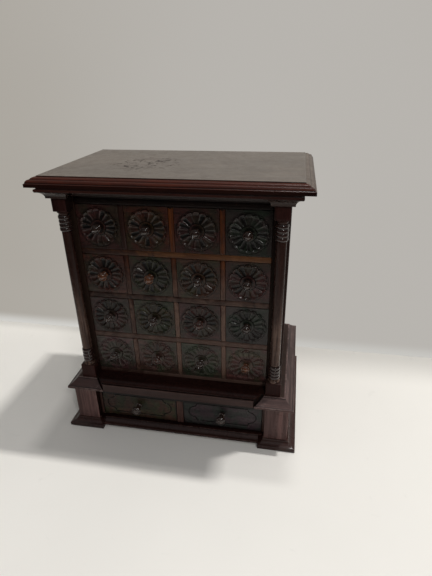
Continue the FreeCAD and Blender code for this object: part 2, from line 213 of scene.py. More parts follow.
woodGrain, edgeWear, handlingAge = makeGrainGroup(), makeWearGroup(), makeAgeGroup()
print("shared effects ready")


def finishMaterial(name, look):
    material = bpy.data.materials.new(name)
    material.use_nodes = True
    tree = material.node_tree
    tree.nodes.clear()
    output = tree.nodes.new("ShaderNodeOutputMaterial")

    def effect(group, values):
        return addNode(tree, "ShaderNodeGroup", {"node_tree": group}, values).outputs

    def under(share, layer, blend="MIX"):
        return mixColour(tree, share, colour, layer, blend)

    grain = effect(woodGrain, {"Stretch": look["grain"], "Shift": look["shift"],
                               "Figure Scale": look["figureScale"]})
    wear = effect(edgeWear, {"Amount": look["wear"], "Breakup Scale": look["breakup"],
                             "Groove Dirt": look["dirt"]})
    age = effect(handlingAge, {"Dust": look["dust"]})
    place = objectPlace(tree)
    if "figureTint" in look:
        colour = attributeNode(tree, tintName, "Color")
        colour = under(grain["Figure"], under(1.0, look["figureTint"], "MULTIPLY"))
    else:
        colour = mixColour(tree, grain["Figure"], look["stain"], look["figure"])
    colour = under(times(tree, grain["Streaks"], look["streaks"]), look["streakColour"])
    colour = under(times(tree, age["Blotch"], look["blotches"]), look["blotchColour"])
    colour = under(times(tree, grain["Pores"], look["pores"]), look["groove"])
    if "hueDrift" in look:
        drift = mixColour(tree, pattern(tree, place, "hueDrift"), *look["hueDrift"])
        colour = under(1.0, drift, "MULTIPLY")
    if "mottle" in look:
        flecks = times(tree, pattern(tree, place, "flecks"), look["mottle"])
        colour = under(flecks, under(1.0, look["mottleShade"], "MULTIPLY"))
    if "bareWood" in look:
        bare = attributeNode(tree, bareName)
        rubbed = plus(tree, bare, swing(tree, age["Smudge"], look["bareBreak"]))
        rubbed = times(tree, rangeNode(tree, rubbed, 0.1, 1.0), rangeNode(tree, bare, 0.0, 0.1))
        low, high = (mixColour(tree, grain["Streaks"], *look[key]) for key in ("bareLow", "bareWood"))
        turn = rangeNode(tree, axisOf(tree, place, "Z"), *look["bareTurn"])
        colour = under(rubbed, mixColour(tree, turn, low, high))
    colour = under(wear["Worn"], look["worn"])
    colour = under(wear["Dirty"], look["groove"])
    colour = under(age["Dusty"], look["dustColour"])
    roughness = rangeNode(tree, age["Smudge"], 0.0, 1.0, *look["roughness"], False)
    roughness = plus(tree, roughness, times(tree, wear["Worn"], look["wornRough"]), True)
    roughness = plus(tree, roughness, times(tree, age["Dusty"], look["dustRough"]), True)
    if "smearPlace" in look:
        apart = vectorNode(tree, "DISTANCE", place, look["smearPlace"], "Value")
        smear = times(tree, pattern(tree, place, "smears"), rangeNode(tree, apart, *look["smearReach"]))
        colour = under(smear, look["smearColour"])
        roughness = plus(tree, roughness, times(tree, smear, look["smearRough"]), True)
    relief = grain["Height"]
    if "marks" in look:
        marks = noiseNode(tree, place, 240.0, 3.0, 0.6, 0.6)
        relief = plus(tree, relief, times(tree, marks, look["marks"]))
    bump = addNode(tree, "ShaderNodeBump", {},
                   {"Height": relief, "Strength": look["bump"], "Distance": look["bumpHeight"]})
    shader = addNode(tree, "ShaderNodeBsdfPrincipled", {},
                     {"Base Color": colour, "Roughness": roughness, "Normal": bump.outputs["Normal"],
                      "Specular IOR Level": look["specular"], "Coat Weight": look["coat"],
                      "Coat Roughness": look["coatRoughness"]})
    tree.links.new(shader.outputs[0], output.inputs["Surface"])
    return material


alongX, alongY, alongZ = (0.05, 1.0, 1.0), (1.0, 0.05, 1.0), (1.0, 1.0, 0.05)
oldMahogany = {
    "grain": alongX, "shift": 0.0, "figureScale": 26.0,
    "streaks": 0.35, "streakColour": (0.012, 0.005, 0.004),
    "blotches": 0.3, "blotchColour": (0.030, 0.011, 0.008),
    "pores": 0.55, "groove": (0.006, 0.004, 0.0035), "dirt": 1.0,
    "wear": 0.55, "worn": (0.11, 0.045, 0.025), "breakup": 90.0,
    "dust": 0.12, "dustColour": (0.12, 0.095, 0.08), "mottleShade": (0.45, 0.45, 0.45),
    "bareBreak": 0.5, "bareTurn": (0.34, 0.46),     # bare wood is greyer below this height, in metres
    "roughness": (0.27, 0.42), "wornRough": 0.12, "dustRough": 0.25, "bump": 0.25, "bumpHeight": 0.0006,
    "specular": 0.17, "coat": 0.0, "coatRoughness": 0.12}


def mahogany(stain, figure, **changes):
    return {**oldMahogany, "stain": stain, "figure": figure, **changes}


finishes = {
    "topField": mahogany(
        (0.058, 0.038, 0.029), (0.115, 0.083, 0.064), streaks=0.45, streakColour=(0.040, 0.025, 0.019),
        blotchColour=(0.026, 0.016, 0.012), blotches=0.45, dust=0.62, dustColour=(0.180, 0.157, 0.132),
        roughness=(0.22, 0.36), wear=0.35, worn=(0.09, 0.05, 0.038), specular=0.45,
        smearPlace=(-0.078, -0.022, 0.623), smearReach=(0.09, 0.045), smearColour=(0.018, 0.011, 0.008),
        smearRough=0.5),
    "topMoulding": mahogany(
        (0.031, 0.0062, 0.0036), (0.072, 0.0142, 0.0064), dust=0.0, wear=0.25, worn=(0.12, 0.045, 0.028),
        shift=0.4, roughness=(0.3, 0.42), specular=0.12, coat=0.06, coatRoughness=0.2),
    "topLip": mahogany((0.008, 0.0024, 0.0018), (0.018, 0.005, 0.0035), dust=0.0, wear=0.2,
                       worn=(0.10, 0.04, 0.026), shift=0.5, specular=0.05),
    "fasciaRed": mahogany((0.030, 0.008, 0.006), (0.055, 0.014, 0.009), dust=0.1, wear=0.3, shift=0.7,
                          coat=0.15),
    "cornice": mahogany((0.022, 0.013, 0.011), (0.036, 0.021, 0.017), dust=0.2, shift=1.4,
                        roughness=(0.2, 0.32), wear=0.3, coat=0.15),
    "postMahogany": mahogany(
        (0.090, 0.049, 0.045), (0.195, 0.106, 0.096), grain=alongZ, streaks=0.6, shift=2.1,
        streakColour=(0.042, 0.020, 0.018), blotchColour=(0.055, 0.028, 0.026), roughness=(0.26, 0.4),
        wear=0.4, worn=(0.22, 0.14, 0.125)),
    # A near-black finish for the faces of the posts and capital blocks that look at the drawers: painted
    # shade
    "innerShade": mahogany((0.008, 0.0042, 0.0038), (0.017, 0.009, 0.008), grain=alongZ, shift=2.4,
                           wear=0.2, specular=0.08, dust=0.0),
    "blockMahogany": mahogany(
        (0.013, 0.0045, 0.0040), (0.034, 0.011, 0.010), grain=alongZ, shift=2.7, wear=0.35, streaks=0.5,
        worn=(0.10, 0.05, 0.044), specular=0.07),
    "columnMahogany": mahogany(
        (0.022, 0.009, 0.007), (0.046, 0.020, 0.015), grain=alongZ, shift=3.2, wear=0.3, streaks=0.5,
        worn=(0.09, 0.047, 0.034), roughness=(0.2, 0.32), specular=0.09, coat=0.12, coatRoughness=0.15,
        figureScale=60.0, bareWood=((0.120, 0.076, 0.056), (0.046, 0.027, 0.021)), bareBreak=0.12,
        bareLow=((0.128, 0.079, 0.060), (0.038, 0.020, 0.015))),
    "baseMoulding": mahogany(
        (0.022, 0.0075, 0.006), (0.042, 0.014, 0.011), shift=4.3, dust=0.05, wear=0.5,
        worn=(0.12, 0.062, 0.055), dirt=1.7, roughness=(0.22, 0.36), coat=0.2),
    "waistFascia": mahogany((0.034, 0.017, 0.015), (0.058, 0.031, 0.027), shift=4.6, dust=0.1, wear=0.25,
                            roughness=(0.3, 0.42), dirt=1.7),
    "waistCrown": mahogany(
        (0.010, 0.0032, 0.0026), (0.032, 0.0105, 0.0085), shift=4.4, dust=0.0, wear=0.35,
        worn=(0.07, 0.033, 0.028), dirt=1.7, specular=0.08, roughness=(0.26, 0.4), coat=0.08, mottle=0.8),
    "capMoulding": mahogany(
        (0.068, 0.033, 0.030), (0.155, 0.088, 0.080), shift=4.9, dust=0.2, dustColour=(0.16, 0.12, 0.115),
        wear=0.65, streaks=0.6, streakColour=(0.022, 0.009, 0.008), groove=(0.010, 0.005, 0.0045),
        worn=(0.20, 0.14, 0.13), blotchColour=(0.022, 0.009, 0.009), blotches=0.65),
    "sideBoards": mahogany((0.016, 0.008, 0.0065), (0.030, 0.015, 0.011), grain=alongZ, shift=5.1, wear=0.3,
                           roughness=(0.5, 0.65), specular=0.12),
    # Near-black stiles beside the columns: painted shade in the recess behind the columns
    "stileShade": mahogany((0.010, 0.0060, 0.0040), (0.022, 0.013, 0.0085), grain=alongZ, shift=5.8,
                          wear=0.15, specular=0.07, roughness=(0.45, 0.6)),
    # Near-black: painted shade under the top's overhang, for the frieze and the top row of shelf and
    # partition edges
    "friezeDark": mahogany((0.003, 0.0015, 0.0011), (0.006, 0.003, 0.0022), shift=6.4, wear=0.0,
                           specular=0.12, roughness=(0.35, 0.5), dust=0.0),
    "shelfEdge": mahogany(
        (0.014, 0.006, 0.0045), (0.026, 0.011, 0.008), worn=(0.06, 0.03, 0.018), wear=0.25, shift=7.7,
        breakup=60.0, dust=0.0, bareWood=((0.110, 0.046, 0.018), (0.066, 0.025, 0.010)),
        bareLow=((0.090, 0.054, 0.042),) * 2),
    "partitionEdge": mahogany(
        (0.016, 0.006, 0.0045), (0.032, 0.011, 0.008), grain=alongZ, worn=(0.05, 0.022, 0.012), wear=0.25,
        shift=8.2, breakup=60.0, dust=0.0, bareWood=((0.095, 0.026, 0.006), (0.055, 0.014, 0.004)),
        bareLow=((0.125, 0.075, 0.056),) * 2),
    "muntinFace": mahogany((0.052, 0.026, 0.022), (0.104, 0.054, 0.044), grain=alongZ, wear=0.25,
                           shift=8.8),
    "drawerInside": mahogany(
        (0.17, 0.085, 0.045), (0.24, 0.13, 0.07), grain=alongY, streakColour=(0.12, 0.06, 0.03),
        blotchColour=(0.11, 0.055, 0.03), worn=(0.3, 0.18, 0.1), roughness=(0.6, 0.8), wear=0.4, shift=9.9),
    "plainBoards": mahogany(
        (0.10, 0.05, 0.03), (0.16, 0.085, 0.05), streakColour=(0.07, 0.033, 0.02),
        blotchColour=(0.06, 0.03, 0.018), worn=(0.22, 0.13, 0.08), roughness=(0.6, 0.78), shift=11.0),
    # The next two take each piece's own stain
    "drawerFront": dict(
        oldMahogany, figureTint=(1.6, 1.5, 1.45), wear=0.4, worn=(0.085, 0.066, 0.060), dust=0.0,
        roughness=(0.24, 0.36), streaks=0.3, streakColour=(0.006, 0.0035, 0.0028),
        blotchColour=(0.010, 0.005, 0.0045), groove=(0.003, 0.002, 0.0016), coat=0.25, coatRoughness=0.14,
        marks=0.5, mottle=0.6, hueDrift=((0.76, 1.14, 0.92), (1.24, 0.90, 1.06))),
    "knobWood": dict(
        oldMahogany, figureTint=(1.4, 1.35, 1.3), wear=0.4, worn=(0.10, 0.045, 0.026), grain=alongY,
        roughness=(0.22, 0.32), dust=0.0, coat=0.9, coatRoughness=0.06, bump=0.08),
}
# A darker copy of the cap's finish for the left half of its front: painted shade
finishes["capMouldingShade"] = dict(finishes["capMoulding"], stain=(0.036, 0.016, 0.013),
                                    figure=(0.085, 0.044, 0.038), dirt=2.0)
finishes["turnedRings"] = dict(finishes["columnMahogany"], coat=0.8, coatRoughness=0.12,
                               stain=(0.014, 0.006, 0.005), figure=(0.032, 0.014, 0.011))
for name in ("topMoulding", "baseMoulding", "capMoulding"):
    finishes[name + "Side"] = dict(finishes[name], grain=alongY)
finishes["capMouldingSide"].update(stain=(0.030, 0.015, 0.013), figure=(0.185, 0.115, 0.105), streaks=0.85,
                                   figureScale=40.0)
finishes["topMouldingSide"].update(dust=0.8, dustColour=(0.19, 0.165, 0.14))
materials = {name: finishMaterial(name, look) for name, look in finishes.items()}
print("finishes ready:", len(materials))


def addObject(name, data):
    item = bpy.data.objects.new(name, data)
    bpy.context.scene.collection.objects.link(item)
    return item


# A part is a dictionary of points, faces, and a wear and a dirt value for each point

def newPart():
    return {"points": [], "faces": [], "wear": [], "dirt": []}


def addPoint(part, place, wear, dirt):
    part["points"].append(tuple(v * mm for v in place))
    part["wear"].append(wear)
    part["dirt"].append(dirt)


def ringFaces(first, last, count):
    # Rings of count points each, that start at the point numbered first and end with the ring at last
    faces = []
    for start in range(first, last, count):
        for k in range(count):
            a, b = start + k, start + (k + 1) % count
            faces.append([a, b, b + count, a + count])
    return faces + [[last + k for k in range(count)]]


def movedPart(part, x=0.0, y=0.0, z=0.0):
    return dict(part, points=[(px + x, py + y, pz + z) for px, py, pz in part["points"]])


def splitPart(part, test):
    # Both halves keep the points of the whole, so that makePiece joins them without a seam
    return (dict(part, faces=[face for face in part["faces"] if test(face)]),
            dict(part, faces=[face for face in part["faces"] if not test(face)]))


def makePiece(name, parts, replaced, body="cabinet", sharpAngle=38.0, tint=None):
    points, faces, wear, dirt, bare, slots = [], [], [], [], [], []
    used, placed = [], {}
    for part, materialName in parts:
        if materialName not in used:
            used.append(materialName)
        whole = id(part["points"])
        if whole not in placed:
            placed[whole] = len(points)
            points += part["points"]
            wear += part["wear"]
            dirt += part["dirt"]
            bare += part.get("bare", [0.0] * len(part["points"]))
        faces += [[placed[whole] + k for k in face] for face in part["faces"]]
        slots += [used.index(materialName)] * len(part["faces"])
    mesh = bpy.data.meshes.new(name)
    mesh.from_pydata(points, [], faces)
    work = bmesh.new()
    work.from_mesh(mesh)
    bmesh.ops.recalc_face_normals(work, faces=work.faces)
    work.to_mesh(mesh)
    work.free()
    mesh.polygons.foreach_set("material_index", slots)
    kept = {wearName: wear, dirtName: dirt}
    if any(bare):
        kept[bareName] = bare
    for attributeName, values in kept.items():
        mesh.attributes.new(attributeName, "FLOAT", "POINT").data.foreach_set("value", values)
    if tint:
        flat = [value for _ in points for value in (*tint, 1.0)]
        mesh.attributes.new(tintName, "FLOAT_COLOR", "POINT").data.foreach_set("color", flat)
    for materialName in used:
        mesh.materials.append(materials[materialName])
    mesh.shade_smooth()
    mesh.set_sharp_from_angle(angle=math.radians(sharpAngle))
    piece = addObject(name, mesh)
    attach(piece, body)
    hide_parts(replaced)


# Boards with eased arrises

def easedSolid(work, ease, fade):
    wearLayer = work.verts.layers.float.new("wear")
    arrises = [edge for edge in work.edges if edge.is_manifold and edge.is_convex
               and edge.calc_face_angle() > math.radians(30)]
    rounded = bmesh.ops.bevel(work, geom=arrises, offset=ease, segments=2, profile=0.5,
                              affect="EDGES", clamp_overlap=True)
    for point in rounded["verts"]:
        point[wearLayer] = 1.0
    before = set(work.verts)
    for face in [face for face in work.faces if face.calc_area() > (3 * ease) ** 2]:
        shortest = min(edge.calc_length() for edge in face.edges)
        if shortest > 2 * ease:
            bmesh.ops.inset_individual(work, faces=[face], thickness=min(fade, 0.32 * shortest),
                                       use_even_offset=True)
    for point in work.verts:
        if point not in before:
            point[wearLayer] = 0.0
    work.verts.index_update()
    part = {"points": [tuple(point.co) for point in work.verts],
            "faces": [[point.index for point in face.verts] for face in work.faces],
            "wear": [point[wearLayer] for point in work.verts], "dirt": [0.0] * len(work.verts)}
    work.free()
    return part


def easedBoard(low, high, ease, fade=4.0):
    work = bmesh.new()
    size = [b - a for a, b in zip(low, high)]
    middle = [(a + b) / 2 for a, b in zip(low, high)]
    bmesh.ops.create_cube(work, size=1.0, matrix=Matrix.Translation([v * mm for v in middle])
                          @ Matrix.Diagonal([v * mm for v in size] + [1.0]))
    return easedSolid(work, ease * mm, fade * mm)


def easedCopy(nodeName, ease, fade=4.0, cuts=()):
    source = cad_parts[nodeName].data
    work = bmesh.new()
    points = [work.verts.new(point.co) for point in source.vertices]
    for face in source.polygons:
        work.faces.new([points[k] for k in face.vertices])
    bmesh.ops.remove_doubles(work, verts=work.verts, dist=1e-5)
    bmesh.ops.dissolve_limit(work, angle_limit=math.radians(1), verts=work.verts, edges=work.edges)
    for x in cuts:
        bmesh.ops.bisect_plane(work, geom=work.verts[:] + work.edges[:] + work.faces[:],
                               plane_co=(x * mm, 0, 0), plane_no=(1, 0, 0))
    return easedSolid(work, ease * mm, fade * mm)


# Each board: the solid it stands for, its finish, its slot and how far its arrises are eased
boards = {
    "frieze": ("frieze_rail", "friezeDark", "dark_mahogany", 0.8),
    "capitalBlocks": ("capital_blocks", "blockMahogany", "red_mahogany", 1.0),
    "columnFootBlocks": ("column_plinths", "blockMahogany", "red_mahogany", 1.0),
    "leftSide": ("left_side_panel", "sideBoards", "dark_mahogany", 1.0),
    "rightSide": ("right_side_panel", "sideBoards", "dark_mahogany", 1.0),
    "stiles": ("face_stiles", "stileShade", "dark_mahogany", 0.7),
    "caseBack": ("back_panel", "plainBoards", "plain_boards", 0.7),
    "baseTop": ("base_top", "sideBoards", "dark_mahogany", 0.6),
    "posts": ("base_posts", "postMahogany", "red_mahogany", 1.4),
    "baseSides": ("base_side_panels", "sideBoards", "dark_mahogany", 0.8),
    "baseBack": ("base_back_panel", "plainBoards", "plain_boards", 0.7),
    "baseDividers": ("base_dividers", "muntinFace", "worn_dividers", 1.0),
    "baseFloor": ("base_floor", "plainBoards", "plain_boards", 0.6),
}
shadedInside = ("posts", "capitalBlocks")     # their faces that look at the drawers take a near-black finish: painted shade


def makeBoards():
    for pieceName, (nodeName, materialName, slotName, ease) in boards.items():
        part = easedCopy(nodeName, ease)
        parts = [(part, materialName)]
        if pieceName in shadedInside:
            points = part["points"]
            inside = min(abs(point[0]) for point in points) + 0.3 * mm
            inner, outer = splitPart(part, lambda face: all(abs(points[k][0]) < inside for k in face))
            parts = [(outer, materialName), (inner, "innerShade")]
        makePiece(pieceName, parts, nodeName)


makeBoards()
print("boards eased:", len(boards))

# How far the front edges are rubbed bare: rows from the top down, the shelves from left to right
dividers = {"pitch": 105.0, "shelf": 13.0, "ease": 2.2, "cuts": range(-150, 151, 50), "reach": 14.0,
            "uprights": [(0.05, 1.0, 0.62), (0.4, 0.6, 0.7), (0.5, 0.85, 0.75), (0.62, 0.85, 0.85)],
            "shelves": [(0.0, 0.0), (0.2, 1.0), (0.35, 0.55), (0.65, 0.75), (0.5, 0.95)],
            "turnLeft": -110.0, "turnRight": 20.0}


def makeDividers():
    look = dividers
    low, pitch = span("drawer_shelves")[0], look["pitch"]
    topFoot = low.z + 4 * pitch

    def bareShelf(x, z):
        row = 0 if z > topFoot else 4 - round((z - low.z - look["shelf"] / 2) / pitch)
        left, right = look["shelves"][row]
        turn = min(1.0, max(0.0, (x - look["turnLeft"]) / (look["turnRight"] - look["turnLeft"])))
        return left + (right - left) * turn

    def bareUpright(x, z):
        row = min(3, max(0, 3 - int((z - low.z - look["shelf"]) / pitch)))
        column = round(x / pitch)
        return look["uprights"][row][column + 1] if abs(column) < 2 else 0.0

    for name, node, finish, cuts, bareAt in (
            ("shelves", "drawer_shelves", "shelfEdge", look["cuts"], bareShelf),
            ("partitions", "drawer_partitions", "partitionEdge", (), bareUpright)):
        part = easedCopy(node, look["ease"], 4.0, cuts)
        part["bare"] = [max(0.0, 1.0 - (y / mm - low.y) / look["reach"]) * bareAt(x / mm, z / mm)
                        for x, y, z in part["points"]]
        # Faces above the top row of drawers take the near-black frieze finish: painted shade under the
        # top's overhang
        top, rest = splitPart(part, lambda face: min(part["points"][k][2] for k in face) > topFoot * mm)
        parts = [(top, "friezeDark"), (rest, finish)] if top["faces"] else [(rest, finish)]
        makePiece(name, parts, node)


# Mouldings: a profile in millimetres as (out, up) steps, or (out, up, midOut, midUp) for an arc

def arcPoints(start, middle, end, count=9):
    (ax, ay), (bx, by), (cx, cy) = start, middle, end
    d = 2 * (ax * (by - cy) + bx * (cy - ay) + cx * (ay - by))
    a2, b2, c2 = ax * ax + ay * ay, bx * bx + by * by, cx * cx + cy * cy
    ux = (a2 * (by - cy) + b2 * (cy - ay) + c2 * (ay - by)) / d
    uy = (a2 * (cx - bx) + b2 * (ax - cx) + c2 * (bx - ax)) / d
    first, mid, last = (math.atan2(y - uy, x - ux) for x, y in (start, middle, end))
    turn = (last - first) % math.tau
    if (mid - first) % math.tau > turn:
        turn -= math.tau
    radius = math.hypot(ax - ux, ay - uy)
    return [(ux + radius * math.cos(first + turn * k / count),
             uy + radius * math.sin(first + turn * k / count)) for k in range(1, count + 1)]


def easedCorner(before, here, after, ease, share, fade, room, edge, peak):
    # Points round a corner, each with how much of the corner's wear it takes
    back, on = here - before, after - here
    backWay, onWay = back.normalized(), on.normalized()
    start = here - backWay * min(ease, share * back.length)
    end = here + onWay * min(ease, share * on.length)
    corner = [(*start, edge), (*(start * 0.25 + here * 0.5 + end * 0.25), peak), (*end, edge)]
    if back.length > room * fade:
        corner.insert(0, (*(here - backWay * fade), 0.0))
    if on.length > room * fade:
        corner.append((*(here + onWay * fade), 0.0))
    return corner


def easedProfile(steps, ease=0.6, fade=2.4, closed=True):
    corners = [tuple(steps[0][:2])]
    for step in steps[1:]:
        corners += arcPoints(corners[-1], step[2:], step[:2]) if len(step) == 4 else [tuple(step)]
    count = len(corners)
    area = sum(a[0] * b[1] - b[0] * a[1] for a, b in zip(corners, corners[1:] + corners[:1]))
    profile = []
    for k, corner in enumerate(corners):
        before, here, after = (Vector(corners[j % count]) for j in (k - 1, k, k + 1))
        back, on = here - before, after - here
        bend = math.atan2(back.x * on.y - back.y * on.x, back.dot(on))
        if not closed and k in (0, count - 1) or abs(bend) < math.radians(25):
            profile.append((*corner, 0.0, 0.0))
            continue
        wear, dirt = (1.0, 0.0) if bend * area > 0 else (0.0, 1.0)     # an arris wears, a hollow fills
        for x, y, share in easedCorner(before, here, after, ease, 0.4, fade, 2.0, 0.7, 1.0):
            profile.append((x, y, share * wear, share * dirt))
    return profile


longRun = 60.0     # an open run longer than this has wear that fades from its ends


def easedPath(stations, closed, ease=0.7, fade=3.0):
    path = []
    count = len(stations)
    for k, (x, y, dx, dy) in enumerate(stations):
        if not closed and k in (0, count - 1):
            path.append((x, y, dx, dy, 0.9))
            way = Vector(stations[1 if k == 0 else -2][:2]) - Vector((x, y))
            if way.length > longRun:
                near = (x + way.normalized().x * fade, y + way.normalized().y * fade, dx, dy, 0.0)
                path.insert(len(path) if k == 0 else -1, near)
            continue
        before, after = Vector(stations[k - 1][:2]), Vector(stations[(k + 1) % count][:2])
        corner = easedCorner(before, Vector((x, y)), after, ease, 0.3, fade, 2.5, 0.5, 0.8)
        path += [(nearX, nearY, dx, dy, share) for nearX, nearY, share in corner]
    return path


def sweepAlong(profile, stations, closedPath, closedProfile=True, outScale=1.0):
    path = easedPath(stations, closedPath)
    part = newPart()
    reach = max(point[0] for point in profile)
    for x, y, dx, dy, cornerWear in path:
        for out, up, wear, dirt in profile:
            away = out * outScale
            side = max(away, 0.0)
            corner = cornerWear * 0.8 * min(1.0, max(0.0, out) / reach * 1.5)
            addPoint(part, (x + dx * side, y + dy * away, up), max(wear, corner), dirt)
    wide, long = len(profile), len(path)
    for a in range(long if closedPath else long - 1):
        b = (a + 1) % long
        for c in range(wide if closedProfile else wide - 1):
            d = (c + 1) % wide
            part["faces"].append([a * wide + c, a * wide + d, b * wide + d, b * wide + c])
    if not closedPath:
        part["faces"].append(list(range(wide)))
        part["faces"].append(list(range((long - 1) * wide, long * wide))[::-1])
    if not closedProfile:
        part["faces"].append([a * wide for a in range(long)])
        part["faces"].append([a * wide + wide - 1 for a in range(long)][::-1])
    return part


def splitRuns(part, finish, halfX, halfY):
    def onSide(face):
        x, y = (abs(sum(part["points"][k][axis] for k in face)) / len(face) / mm for axis in (0, 1))
        return x - halfX > y - halfY
    side, front = splitPart(part, onSide)
    return [(front, finish), (side, finish + "Side")]


def rectangle(halfX, halfY):
    return [(halfX * a, halfY * b, a, b) for a, b in ((-1, -1), (1, -1), (1, 1), (-1, 1))]


# The case, in millimetres: the outsides of its side panels and the fronts of its corner blocks
(panelLow, panelHigh), blockWidth = span("right_side_panel"), 31.0
caseHalf, caseBack, caseHead = panelHigh
gridFront, caseFoot, blockFront = panelLow.y, panelLow.z, span("capital_blocks")[0].y
blockInner = caseHalf - blockWidth

topBoard = {"edge": 19.5, "inset": 16.0, "ease": 0.45, "fade": 3.5, "fieldDepth": 1.0, "lipDepth": 13.0}
fasciaBoard = {"fascia": 27.5, "quirk": 31.5, "quirkHeight": 4.4, "inside": 10.0, "ease": 0.5, "fade": 1.6}


def makeTop():
    look = topBoard
    inset, edge = look["inset"], look["edge"]
    low, high = span("top_board")
    foot, head, lip = low.z, high.z, inset + edge
    halfX, halfY = high.x - lip, high.y - lip
    steps = [(0, head), (inset, head), (inset, head - 1.6), (inset + 2.0, head - 2.2),
             (inset + 9.0, head - 4.6, inset + 5.6, head - 2.6), (inset + 9.6, head - 6.0),
             (lip - 2.5, head - 10.8, lip - 5.0, head - 7.2), (lip - 2.5, head - 12.0),
             (lip, head - 13.2), (lip, foot), (0, foot)]
    profile = easedProfile(steps, look["ease"], look["fade"], closed=False)
    sweep = sweepAlong(profile, rectangle(halfX, halfY), True, False)
    fieldFoot, lipHead = (head - look["fieldDepth"]) * mm, (head - look["lipDepth"]) * mm
    field, rest = splitPart(sweep, lambda face: min(sweep["points"][k][2] for k in face) > fieldFoot)
    lipPart, moulding = splitPart(rest, lambda face: max(rest["points"][k][2] for k in face) < lipHead)
    parts = [(field, "topField"), (lipPart, "topLip")] + splitRuns(moulding, "topMoulding", halfX, halfY)
    makePiece("tableTop", parts, "top_board")

    look = fasciaBoard
    fascia, quirk, quirkHead = look["fascia"], look["quirk"], caseHead + look["quirkHeight"]
    steps = [(0, foot), (fascia, foot), (fascia, quirkHead), (quirk, quirkHead), (quirk, caseHead),
             (0, caseHead)]
    profile = easedProfile(steps, look["ease"], look["fade"], closed=False)
    frameRun = rectangle(caseHalf - look["inside"], caseBack - look["inside"])
    makePiece("fasciaBoard", [(sweepAlong(profile, frameRun, True, False), "fasciaRed")], "sub_top")


makeTop()

cornice = {"drop": 7.0, "reach": 20.8}


def makeCornice():
    foot, head, drop, reach = span("cornice_cove")[0].z, caseHead, cornice["drop"], cornice["reach"]
    steps = [(0, foot), (drop, foot), (drop, foot + 3.5),
             (reach, head - 1.5, drop + 4.4, foot + 10.5), (reach, head), (0, head)]
    path = [(-caseHalf, blockFront, -1, -1), (-blockInner, blockFront, 1, -1),
            (-blockInner, gridFront, 1, -1), (blockInner, gridFront, -1, -1),
            (blockInner, blockFront, -1, -1), (caseHalf, blockFront, 1, -1),
            (caseHalf, caseBack, 1, 1), (-caseHalf, caseBack, -1, 1)]
    part = sweepAlong(easedProfile(steps, 0.6, 2.0), path, True)
    makePiece("corniceCove", [(part, "cornice")], "cornice_cove")


makeCornice()

waist = {"out": 22.8, "bead": 146.5, "flat": 142.5, "halfRun": 203.0, "shadowFoot": 4.6}


def makeWaist():
    look = waist
    out, bead, flat, run = look["out"], look["bead"], look["flat"], look["halfRun"]
    low = span("waist_moulding")[0].z
    dark = low + look["shadowFoot"]
    steps = [(0, low), (out, low), (out, dark), (out, dark + 1.0), (out, caseFoot), (out - 3.5, caseFoot),
             (out - 3.5, caseFoot + 1.5), (6.0, bead, out - 6.8, bead - 2.4), (4.0, bead),
             (4.0, flat), (-27.6, flat), (-27.6, caseFoot), (0, caseFoot)]
    # The bottom band of the fascia takes full dirt and no wear: a painted shadow line under the fascia
    profile = [(*point[:2], 0.0, 1.0) if point[1] < dark + 0.1 else point
               for point in easedProfile(steps, 0.6, 2.4)]
    part = sweepAlong(profile, [(-run, blockFront, 1, -1), (run, blockFront, -1, -1)], False)
    points, faceHead, faceFront = part["points"], (caseFoot - 0.1) * mm, (blockFront - out + 0.5) * mm
    fascia, crown = splitPart(part, lambda face: max(points[k][2] for k in face) < faceHead
                              and min(points[k][1] for k in face) < faceFront)
    makePiece("waistFascia", [(fascia, "waistFascia"), (crown, "waistCrown")], "waist_moulding")


makeWaist()

cap = {"out": 23.4, "fillet": 5.5, "halfX": 248.2, "inner": 205.5}


def makeCap():
    look = cap
    low, out, fillet = span("base_cap_moulding")[0].z, look["out"], look["fillet"]
    steps = [(0, low), (out, low), (out, low + fillet), (out - 2.6, low + fillet),
             (3.6, caseFoot - 1.8, 10.0, caseFoot - 7.6), (3.6, caseFoot), (0, caseFoot)]
    wide, inner = look["halfX"], look["inner"]
    path = [(inner, blockFront, -1, -1), (wide, blockFront, 1, -1), (wide, caseBack, 1, 1),
            (-wide, caseBack, -1, 1), (-wide, blockFront, -1, -1), (-inner, blockFront, 1, -1)]
    part = sweepAlong(easedProfile(steps, 0.6, 2.2), path, False)
    (front, finish), side = splitRuns(part, "capMoulding", wide, -blockFront)
    # The left half of the front takes the darker copy: painted shade
    shaded, lit = splitPart(front, lambda face: front["points"][face[0]][0] < 0)
    makePiece("baseCap", [(lit, finish), (shaded, finish + "Shade"), side], "base_cap_moulding")


makeCap()

foot = {"fillet": 8.5, "postInner": 206.5, "postOuter": 261.0, "postFront": 174.0, "front": 16.0,
        "side": 20.0, "turn": 13.5}
rail = {"half": 206.5, "front": -166.0, "back": -150.0, "foot": 6.0, "head": 21.0, "stripHalf": 193.0,
        "topFront": -157.0, "topBack": -137.0, "topFoot": 100.0, "stripOut": 15.0, "fillet": 5.5,
        "ease": 0.8}


